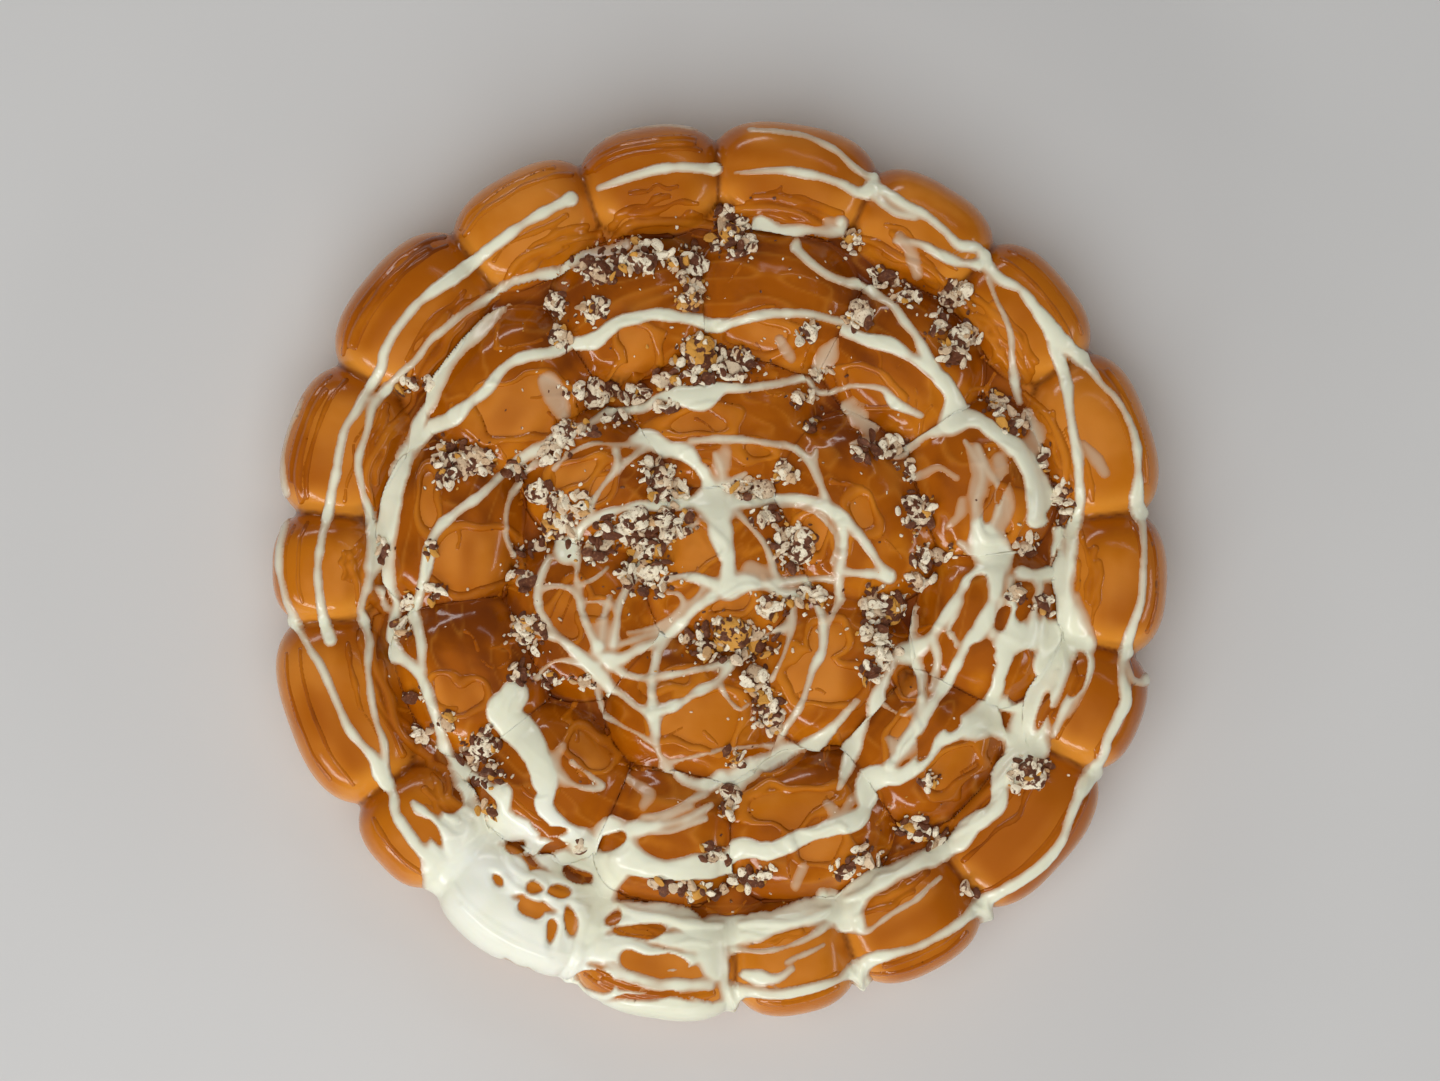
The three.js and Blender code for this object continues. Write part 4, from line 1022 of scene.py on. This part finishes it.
class CoatGrid:
    """The squares of a grid over the disc that a coat covers. Points near its edge are drawn onto it."""

    def __init__(self, loaf, plane, edge_field, step, high):
        count = int(high / step) + 1
        line = np.arange(-count, count + 1) * step
        u, v = np.meshgrid(line, line, indexing="ij")
        rho = np.hypot(u, v)
        near = rho < high + step
        self.loaf = loaf
        self.plane = plane
        edge = np.full(u.shape, -5.0)
        edge[near] = self.on_plane(edge_field, u[near], v[near])
        kept = edge > -0.5 * step
        middle = np.hypot(u[:-1, :-1] + step / 2, v[:-1, :-1] + step / 2)
        cell = kept[:-1, :-1] | kept[1:, :-1] | kept[:-1, 1:] | kept[1:, 1:]
        cell &= middle < high
        used = np.zeros_like(kept)
        for di in (0, 1):
            for dj in (0, 1):
                used[di : used.shape[0] - 1 + di, dj : used.shape[1] - 1 + dj] |= cell
        slope_u, slope_v = np.gradient(edge, step)
        steep = np.maximum(slope_u**2 + slope_v**2, 0.25)
        pull = np.where(np.abs(edge) < 0.5 * step, edge / steep, 0)
        index = np.full(u.shape, -1)
        index[used] = np.arange(used.sum())
        self.u = (u - pull * slope_u)[used]
        self.v = (v - pull * slope_v)[used]
        self.edge = self.on_plane(edge_field, self.u, self.v)
        i, j = np.nonzero(cell)
        self.faces = np.stack([index[i, j], index[i + 1, j], index[i + 1, j + 1], index[i, j + 1]], axis=1)

    def on_plane(self, field, u, v):
        return sample(self.plane.axis, field, *sample(self.loaf.axis, self.loaf.seen, u, v))

    def on_loaf(self, field):
        return sample(self.loaf.axis, field, self.u, self.v)

    def lay(self, base, normal, height):
        """Points of the coat. Outside its edge they lie under what it covers."""
        under = -clamp(-0.9 * self.edge, 0, EDGE_SUNK)
        thick = np.where(self.edge > 0, height, under)
        points = self.on_loaf(base) + self.on_loaf(normal) * thick
        points[2] = np.minimum(points[2], TOP_MOST)
        return points.T


def build_icing(loaf, plane, material):
    grid = CoatGrid(loaf, plane, plane.icing_edge, *ICING)
    sag = grid.on_loaf(loaf.sag) * smooth(-0.5, 0.3, grid.edge)
    height = grid.on_plane(plane.icing_height, grid.u, grid.v)
    points = grid.lay(loaf.over, loaf.drape_normal, height + sag)
    x, y = grid.on_loaf(loaf.seen)
    away = np.hypot(x - MILKY_SHEEN_MIDDLE[0], y - MILKY_SHEEN_MIDDLE[1])
    # Whiter icing in the pool, partly a painted sheen, strongest round its middle and patchy.
    milky_sheen = smooth(55, 20, away) * clamp(0.45 + 0.8 * layered_noise(x, y, 20.0, 71))
    masks = {"thick": clamp(height + 0.25 * sag, 0, 3), "milky_sheen": milky_sheen}
    return add_mesh("icing", points, grid.faces, masks, material)


def build_caramel(loaf, plane, material):
    grid = CoatGrid(loaf, plane, plane.caramel_edge, *CARAMEL_SHEET)
    fill = grid.on_loaf(loaf.fill)
    height = grid.on_plane(plane.caramel_height, grid.u, grid.v) + fill
    points = grid.lay(loaf.crust, loaf.crust_normal, height)
    # Painted shade: caramel on surfaces that face the back is painted darker.
    back_facing_shade = clamp(grid.on_loaf(loaf.surface_normal)[1] * 2, -1, 1)
    masks = {
        "depth": grid.on_loaf(loaf.depth) + 0.2 * back_facing_shade + 0.6 * smooth(0.4, 2.2, fill),
        # Painted highlight: the crests of the wrinkles are painted golden.
        "crest_highlight": 0.5 * grid.on_plane(plane.caramel_wrinkle, grid.u, grid.v),
        # Painted shade: a dark line along the edge of each sheet.
        "margin_shade": smooth(1.2, 0.2, grid.edge),
    }
    return add_mesh("caramel", points, grid.faces, masks, material)


def build_ridges(loaf, plane, material):
    grid = CoatGrid(loaf, plane, plane.ridge_edge, *CARAMEL_RIDGES)
    height = grid.on_plane(plane.ridge_height, grid.u, grid.v)
    points = grid.lay(loaf.surface, loaf.surface_normal, height)
    masks = {
        "depth": grid.on_loaf(loaf.depth) - 0.3,
        # Painted highlight along the top of each ridge, and painted shade along its edges.
        "crest_highlight": 0.3 * smooth(0.35, 0.8, height),
        "margin_shade": 0.5 * smooth(0.5, 0.15, grid.edge),
    }
    return add_mesh("caramel_ridges", points, grid.faces, masks, material)


def icosphere(levels):
    """Points and triangles of a ball of radius 1"""
    golden = (1 + 5**0.5) / 2
    points = []
    for shift in range(3):
        for long in (golden, -golden):
            for short in (-1, 1):
                points.append(np.roll((short, long, 0), shift))
    faces = [(0, 11, 5), (0, 5, 1), (0, 1, 7), (0, 7, 10), (0, 10, 11), (1, 5, 9), (5, 11, 4), (11, 10, 2)]
    faces += [(10, 7, 6), (7, 1, 8), (3, 9, 4), (3, 4, 2), (3, 2, 6), (3, 6, 8), (3, 8, 9), (4, 9, 5)]
    faces += [(2, 4, 11), (6, 2, 10), (8, 6, 7), (9, 8, 1)]
    points = [np.array(p, float) / np.linalg.norm(p) for p in points]
    for _ in range(levels):
        middles = {}

        def middle(a, b):
            key = (min(a, b), max(a, b))
            if key not in middles:
                point = points[a] + points[b]
                middles[key] = len(points)
                points.append(point / np.linalg.norm(point))
            return middles[key]

        finer = []
        for a, b, c in faces:
            ab, bc, ca = middle(a, b), middle(b, c), middle(c, a)
            finer += [(a, ab, ca), (b, bc, ab), (c, ca, bc), (ab, bc, ca)]
        faces = finer
    return np.array(points), np.array(faces)


def spin(angle):
    c = math.cos(angle)
    s = math.sin(angle)
    return np.array([[c, -s, 0], [s, c, 0], [0, 0, 1]])


def turned(random, tilt):
    """A random turn about the upright, with some tilt, as a matrix"""
    around, side = random.uniform(0, 2 * np.pi, 2)
    lean = random.uniform(-tilt, tilt)
    tip = np.roll(spin(lean), (1, 1), (0, 1))
    return spin(side) @ tip @ spin(around)


def random_way(random):
    way = random.normal(size=3)
    return way / np.linalg.norm(way)


def chipped(ball, random, cuts):
    """A ball broken along flat cuts: its points, and how much of the brown skin each one keeps"""
    points = ball.copy()
    skin = smooth(-0.1, 0.25, ball @ random_way(random))
    for _ in range(cuts):
        way = random_way(random)
        beyond = points @ way - random.uniform(0.4, 0.75)
        cut = beyond > 0
        points[cut] -= beyond[cut, None] * way
        skin[cut] *= 0.35
    return points, skin


class Scatter:
    """Collects many small closed meshes into one piece."""

    def __init__(self):
        self.points = []
        self.faces = []
        self.masks = {"skin": [], "tone": []}
        self.count = 0

    def add(self, points, faces, skin, tone):
        self.points.append(points)
        self.faces.append(faces + self.count)
        self.masks["skin"].append(skin)
        self.masks["tone"].append(np.full(len(points), tone))
        self.count += len(points)

    def chip(self, shape, random, centre, size, cuts, tilt=0.6, dark=0.2):
        """Adds a broken piece. A share of them is mostly skin, and the others are mostly pale flesh."""
        ball, faces = shape
        points, skin = chipped(ball, random, cuts)
        stretch = np.array([1.25, random.uniform(0.55, 0.95), random.uniform(0.35, 0.75)]) * size / 2
        points = (points * stretch) @ turned(random, tilt).T + centre
        points[:, 2] = np.minimum(points[:, 2], TOP_MOST)
        share = random.choice([0.0, 0.35, 1.0], p=[0.8 - dark, 0.2, dark])
        self.add(points, faces, clamp(skin * 0.6 + share - 0.2), random.uniform(0, 1))

    def build(self, name, material):
        masks = {key: np.concatenate(value) for key, value in self.masks.items()}
        return add_mesh(name, np.concatenate(self.points), np.concatenate(self.faces), masks, material, False)


def place(loaf, x, y):
    """The point of the surface that shows at x and y, its normal, and how high icing would bridge over it"""
    u = np.float64(x)
    v = np.float64(y)
    for _ in range(6):
        seen = sample(loaf.axis, loaf.seen, u, v)
        u = u + (x - seen[0])
        v = v + (y - seen[1])
    return [sample(loaf.axis, field, u, v) for field in (loaf.over, loaf.surface_normal, loaf.sag)]


# Chopped pecans: the smallest and largest size, and the area of a heap (square millimetres) for each one
PIECES = (4.2, 7.0, 34)
SMALL_CHIPS = (1.3, 2.7)
LARGER_CHIPS = (2.6, 4.6)
SMALL_SHARE = 0.64
CHIP_ROOM = 3.2
CRUMBS = (0.8, 1.8, 10)
SPECKS = 220
SPECK_REACH = 118.0
STUCK_CHIPS = 14


class Pecans:
    """Chopped pecans in three sizes of pieces"""

    def __init__(self):
        self.random = np.random.default_rng(SEED + 9)
        self.fine_ball = icosphere(2)
        self.ball = icosphere(1)
        self.bit = icosphere(0)
        self.pieces = Scatter()
        self.chips = Scatter()
        self.crumbs = Scatter()

    def heap(self, loaf, x, y, length, width):
        random = self.random
        sides = np.array([length, width])
        area = length * width
        dark = random.uniform(0.1, 0.38)
        least, most, room = PIECES
        for _ in range(max(round(area / room), 1)):
            size = random.uniform(least, most)
            free = np.maximum(sides - size, 1) / 2 * 0.9
            spot, normal, sag = place(loaf, *((x, y) + random.uniform(-1, 1, 2) * free))
            centre = spot + normal * (sag + size * 0.14)
            self.pieces.chip(self.fine_ball, random, centre, size, 9, 0.5, dark)
        for _ in range(round(area / CHIP_ROOM)):
            small = random.uniform() < SMALL_SHARE
            size = random.uniform(*(SMALL_CHIPS if small else LARGER_CHIPS))
            shape = self.bit if size < LARGER_CHIPS[0] else self.ball
            way = random.uniform(0, 2 * np.pi)
            out = 0.53 * math.sqrt(random.uniform(0, 1))
            spot, normal, sag = place(loaf, x + out * length * math.cos(way), y + out * width * math.sin(way))
            rise = random.uniform(0, 1)
            lift = sag * (0.4 + 0.6 * rise) + (0.05 + 0.6 * rise) * size
            # Painted shade: chips low in the heap are more often dark skin, standing for shade in the gaps.
            self.chips.chip(shape, random, spot + normal * lift, size, 5, dark=dark + 0.25 - 0.35 * rise)
        least, most, room = CRUMBS
        for _ in range(round(area / room)):
            size = random.uniform(least, most)
            spot, normal, _ = place(loaf, *((x, y) + random.normal(size=2) * sides * 0.38))
            self.crumbs.chip(self.bit, random, spot + normal * size * 0.2, size, 2)

    def specks(self, loaf):
        for _ in range(SPECKS):
            spot, normal, _ = place(loaf, *random_spot(self.random, SPECK_REACH))
            size = self.random.uniform(0.5, 1.1)
            self.crumbs.chip(self.bit, self.random, spot + normal * size * 0.15, size, 1)

    def build(self, material):
        pieces = self.pieces.build("pecan_pieces", material)
        chips = self.chips.build("pecan_chips", material)
        return [pieces, chips, self.crumbs.build("pecan_crumbs", material)]


def hull_reach(corners, ways):
    """How far the corners' soft hull reaches in each direction"""
    level = ways @ corners.T
    return (np.maximum(level, 0) ** 8).mean(axis=1) ** (1 / 8) * 1.12


def build_large_nuts(names, pecans, material):
    """A broken pecan in the shape of each large piece of the solids, with chips stuck to it"""
    random = np.random.default_rng(SEED + 13)
    ball, faces = icosphere(3)
    scatter = Scatter()
    for name in names:
        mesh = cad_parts[name].data
        corners = np.array([v.co[:] for v in mesh.vertices]) / MM
        low = corners.min(axis=0)
        high = corners.max(axis=0)
        centre = (low + high) / 2
        # Each point of the ball is pulled out to about the hull of the corners.
        reach = hull_reach(corners - centre, ball)
        offset = random.uniform(0, 50, 3)
        p = ball * reach[:, None] + offset
        wave = noise(p[:, 0] + p[:, 2] * 0.6, p[:, 1] + p[:, 2] * 0.8, 1.9, 71)
        wave += 0.6 * noise(p[:, 0] - p[:, 2], p[:, 1] + p[:, 2], 0.9, 72)
        points = ball * (reach * 0.94 + 0.55 * wave)[:, None]
        scatter.add(points + centre, faces, clamp(0.5 - wave * 0.9), random.uniform(0, 1))
        top = ball[:, 2] > -0.3
        for i in random.choice(np.nonzero(top)[0], STUCK_CHIPS, replace=False):
            size = random.uniform(1.8, 3.8)
            spot = centre + ball[i] * (reach[i] * 0.94 - size * 0.12)
            pecans.chips.chip(pecans.ball, random, spot, size, 6, 1.5)
    piece = scatter.build("pecan_clumps", material)
    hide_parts(*names)
    return piece


class Paint:
    """Short names for the nodes of one material"""

    def __init__(self, name):
        self.material = bpy.data.materials.new(name)
        self.material.use_nodes = True
        self.tree = self.material.node_tree
        self.tree.nodes.clear()
        out = self.node("ShaderNodeOutputMaterial")
        self.shader = self.node("ShaderNodeBsdfPrincipled")
        self.tree.links.new(self.shader.outputs[0], out.inputs[0])
        self.place = self.node("ShaderNodeTexCoord").outputs["Object"]

    def finish(self, looks):
        """Sets sockets of the shader by name, and returns the material"""
        for name, source in looks.items():
            self.link(source, self.shader.inputs[name])
        return self.material

    def node(self, kind, **settings):
        made = self.tree.nodes.new(kind)
        for key, value in settings.items():
            setattr(made, key, value)
        return made

    def link(self, source, socket):
        if isinstance(source, bpy.types.NodeSocket):
            self.tree.links.new(source, socket)
        else:
            socket.default_value = source

    def mask(self, name):
        return self.node("ShaderNodeAttribute", attribute_name=name).outputs["Fac"]

    def noise(self, scale, detail, roughness=0.55):
        made = self.node("ShaderNodeTexNoise")
        self.link(self.place, made.inputs["Vector"])
        for name, value in (("Scale", scale), ("Detail", detail), ("Roughness", roughness)):
            made.inputs[name].default_value = value
        return made.outputs["Fac"]

    def between(self, value, low, high, to_low=0.0, to_high=1.0):
        made = self.node("ShaderNodeMapRange", interpolation_type="SMOOTHSTEP")
        for socket, number in zip(made.inputs[:5], (value, low, high, to_low, to_high)):
            self.link(number, socket)
        return made.outputs[0]

    def math(self, operation, a, b):
        made = self.node("ShaderNodeMath", operation=operation)
        self.link(a, made.inputs[0])
        self.link(b, made.inputs[1])
        return made.outputs[0]

    def weak(self, mask, share):
        return self.math("MULTIPLY", self.mask(mask), share)

    def mix(self, factor, a, b):
        made = self.node("ShaderNodeMix", data_type="RGBA")
        self.link(factor, made.inputs["Factor"])
        self.link(a, made.inputs[6])
        self.link(b, made.inputs[7])
        return made.outputs[2]

    def bump(self, height, strength, distance):
        made = self.node("ShaderNodeBump")
        for name, source in (("Height", height), ("Strength", strength), ("Distance", distance)):
            self.link(source, made.inputs[name])
        return made.outputs[0]


def colour(red, green, blue):
    """A colour from its values on screen, 0 to 255"""

    def linear(value):
        value /= 255
        return value / 12.92 if value <= 0.04045 else ((value + 0.055) / 1.055) ** 2.4

    return (linear(red), linear(green), linear(blue), 1.0)


PALE_DOUGH = colour(226, 172, 92)
GOLDEN = colour(226, 150, 54)
AMBER = colour(208, 128, 44)
LIGHT_CARAMEL = colour(192, 110, 16)
CARAMEL = colour(164, 84, 2)
DARK_CARAMEL = colour(122, 56, 2)
DARKEST = colour(84, 30, 2)
# The whitest icing, partly a painted sheen on the pool.
WHITE_ICING_SHEEN = colour(250, 251, 240)
ICING_LIGHT, ICING_SHADE = colour(240, 239, 216), colour(228, 228, 202)
THIN_LIGHT, THIN_SHADE = colour(208, 180, 150), colour(196, 160, 124)
THINNEST = colour(190, 124, 64)
FLESH_LIGHT, FLESH_SHADE = colour(246, 234, 206), colour(206, 170, 130)
FLESH_GRAIN, GLAZED_FLESH = colour(152, 114, 84), colour(210, 150, 62)
SKIN_LIGHT, SKIN_SHADE = colour(122, 68, 38), colour(60, 29, 18)
SKIN_GRAIN = colour(150, 100, 64)
FLOOR_LIGHT, FLOOR_SHADE = (0.63, 0.625, 0.615, 1), (0.60, 0.595, 0.585, 1)


def crust_material():
    paint = Paint("glazed_crust")
    fine = paint.noise(260, 5)
    base = paint.mix(paint.between(paint.noise(38, 3), 0.35, 0.65), AMBER, LIGHT_CARAMEL)
    # Darker caramel where it is thick, and painted shade on the back flanks of the outer buns.
    base = paint.mix(paint.between(paint.mask("depth"), 0.35, 1.2, 0.0, 0.9), base, CARAMEL)
    # Golden lower edges, and painted light on the front flanks of the outer buns.
    base = paint.mix(paint.weak("gold", 0.7), base, GOLDEN)
    pale = paint.mix(paint.between(fine, 0.35, 0.7), PALE_DOUGH, GOLDEN)
    base = paint.mix(paint.weak("side", 0.85), base, pale)
    looks = {
        # Painted shade: the creases between buns are painted nearly black.
        "Base Color": paint.mix(paint.weak("crease", 0.8), base, DARKEST),
        "Roughness": paint.between(paint.mask("side"), 0.0, 0.8, 0.15, 0.42),
        "Specular IOR Level": 0.35,
        "Subsurface Weight": 0.08,
        "Subsurface Radius": (0.004, 0.002, 0.001),
        "Normal": paint.bump(fine, 0.2, 0.0005),
    }
    return paint.finish(looks)


def caramel_material():
    paint = Paint("caramel")
    cloud = paint.noise(120, 3)
    # Darker where the caramel is thick, and where shade is painted on back-facing flanks.
    depth = paint.math("ADD", paint.mask("depth"), paint.between(cloud, 0.2, 0.8, -0.12, 0.12))
    base = paint.mix(paint.between(depth, 0.1, 0.6), LIGHT_CARAMEL, CARAMEL)
    base = paint.mix(paint.between(depth, 0.6, 1.15), base, DARK_CARAMEL)
    base = paint.mix(paint.between(depth, 1.2, 1.8), base, DARKEST)
    # Painted shade along the edges of the sheets and ridges.
    base = paint.mix(paint.weak("margin_shade", 0.5), base, DARK_CARAMEL)
    looks = {
        # Painted highlight: crests of wrinkles and ridges are painted golden.
        "Base Color": paint.mix(paint.weak("crest_highlight", 0.5), base, GOLDEN),
        "Roughness": 0.13,
        "Specular IOR Level": 0.4,
        "Normal": paint.bump(cloud, 0.15, 0.0008),
    }
    return paint.finish(looks)


def icing_material():
    paint = Paint("icing")
    thick = paint.mask("thick")
    cloud = paint.noise(90, 3)
    # Whiter icing in the pool, partly painted sheen.
    full = paint.mix(paint.mask("milky_sheen"), paint.mix(cloud, ICING_LIGHT, ICING_SHADE), WHITE_ICING_SHEEN)
    thin = paint.mix(paint.between(thick, 0.02, 0.3), THINNEST, paint.mix(cloud, THIN_LIGHT, THIN_SHADE))
    looks = {
        "Base Color": paint.mix(paint.between(thick, 0.22, 0.95), thin, full),
        "Roughness": 0.26,
        "Specular IOR Level": 0.8,
        "Subsurface Weight": 0.35,
        "Subsurface Radius": (0.003, 0.0026, 0.002),
        "Normal": paint.bump(paint.noise(420, 3), 0.08, 0.0004),
    }
    return paint.finish(looks)


def pecan_material():
    paint = Paint("pecan")
    tone = paint.mask("tone")
    grain = paint.noise(900, 6, 0.7)
    broad = paint.noise(420, 3)
    flesh = paint.mix(paint.between(tone, 0.3, 1.0), FLESH_LIGHT, FLESH_SHADE)
    flesh = paint.mix(paint.between(grain, 0.52, 0.68), flesh, FLESH_GRAIN)
    # Some of the pieces are glazed with caramel.
    flesh = paint.mix(paint.between(tone, 0.86, 0.9), flesh, GLAZED_FLESH)
    skin = paint.mix(broad, SKIN_LIGHT, SKIN_SHADE)
    skin = paint.mix(paint.between(grain, 0.5, 0.72), skin, SKIN_GRAIN)
    share = paint.math("ADD", paint.mask("skin"), paint.between(broad, 0.3, 0.7, -0.3, 0.3))
    looks = {
        "Base Color": paint.mix(paint.between(share, 0.35, 0.55), flesh, skin),
        "Roughness": 0.5,
        "Normal": paint.bump(grain, 0.6, 0.0006),
    }
    return paint.finish(looks)


def floor_material():
    paint = Paint("floor")
    cloudy = paint.mix(paint.noise(6, 2), FLOOR_SHADE, FLOOR_LIGHT)
    return paint.finish({"Base Color": cloudy, "Roughness": 0.7})


FLOOR_REACH = 3000.0


def add_floor():
    corners = [(FLOOR_REACH * x, FLOOR_REACH * y, 0) for x, y in ((-1, -1), (1, -1), (1, 1), (-1, 1))]
    floor = add_mesh("floor", corners, [(0, 1, 2, 3)], {}, floor_material(), False)


def add_light(name, around, up, away, size, power, glossy=True):
    """A soft box that faces the loaf from a direction (degrees) and distance (metres)"""
    data = bpy.data.lights.new(name, "AREA")
    data.shape = "RECTANGLE"
    data.size, data.size_y = size
    data.energy = power
    light = bpy.data.objects.new(name, data)
    turn = math.radians(around)
    rise = math.radians(up)
    level = away * math.cos(rise)
    light.location = (level * math.cos(turn), level * math.sin(turn), away * math.sin(rise))
    light.rotation_euler = (math.radians(90) - rise, 0, math.radians(90) + turn)
    light.visible_glossy = glossy
    bpy.context.scene.collection.objects.link(light)


def add_camera():
    data = bpy.data.cameras.new("camera")
    data.lens = LENS
    data.sensor_width = SENSOR
    data.sensor_fit = "HORIZONTAL"
    data.clip_start = 0.01
    data.clip_end = 20
    camera = bpy.data.objects.new("camera", data)
    camera.location = (CAMERA_X * MM, CAMERA_Y * MM, CAMERA_Z * MM)
    bpy.context.scene.collection.objects.link(camera)
    bpy.context.scene.camera = camera


def add_world():
    world = bpy.data.worlds.new("studio")
    world.use_nodes = True
    background = world.node_tree.nodes["Background"]
    background.inputs["Color"].default_value = (1.0, 0.99, 0.98, 1)
    background.inputs["Strength"].default_value = 0.10
    bpy.context.scene.world = world


add_camera()
add_world()
add_floor()
add_light("overhead", 250, 68, 1.7, (1.8, 1.8), 23.4, glossy=False)
add_light("window", 115, 24, 1.4, (1.0, 0.13), 3.4)
add_light("far_window", 240, 22, 1.4, (1.2, 0.15), 6.0)
add_light("fill", 345, 22, 1.5, (0.9, 0.13), 2.2)
add_light("strip", 60, 56, 1.5, (0.8, 0.05), 0.5)
bpy.context.scene.view_settings.view_transform = "Standard"

plane = Plane()
loaf = Loaf()
dress(loaf, plane)

crust = crust_material()
caramel = caramel_material()
icing = icing_material()
pecan = pecan_material()

bread = build_loaf(loaf, crust)
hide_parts("bread")
coats = [
    build_caramel(loaf, plane, caramel),
    build_ridges(loaf, plane, caramel),
    build_icing(loaf, plane, icing),
]
pecans = Pecans()
for heap in NUT_HEAPS:
    pecans.heap(loaf, *heap)
pecans.specks(loaf)
large_names = sorted(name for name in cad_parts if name.startswith("pecan_"))
clumps = build_large_nuts(large_names, pecans, pecan)
nuts = [clumps, *pecans.build(pecan)]
for piece in (bread, *coats, *nuts):
    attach(piece, "root")
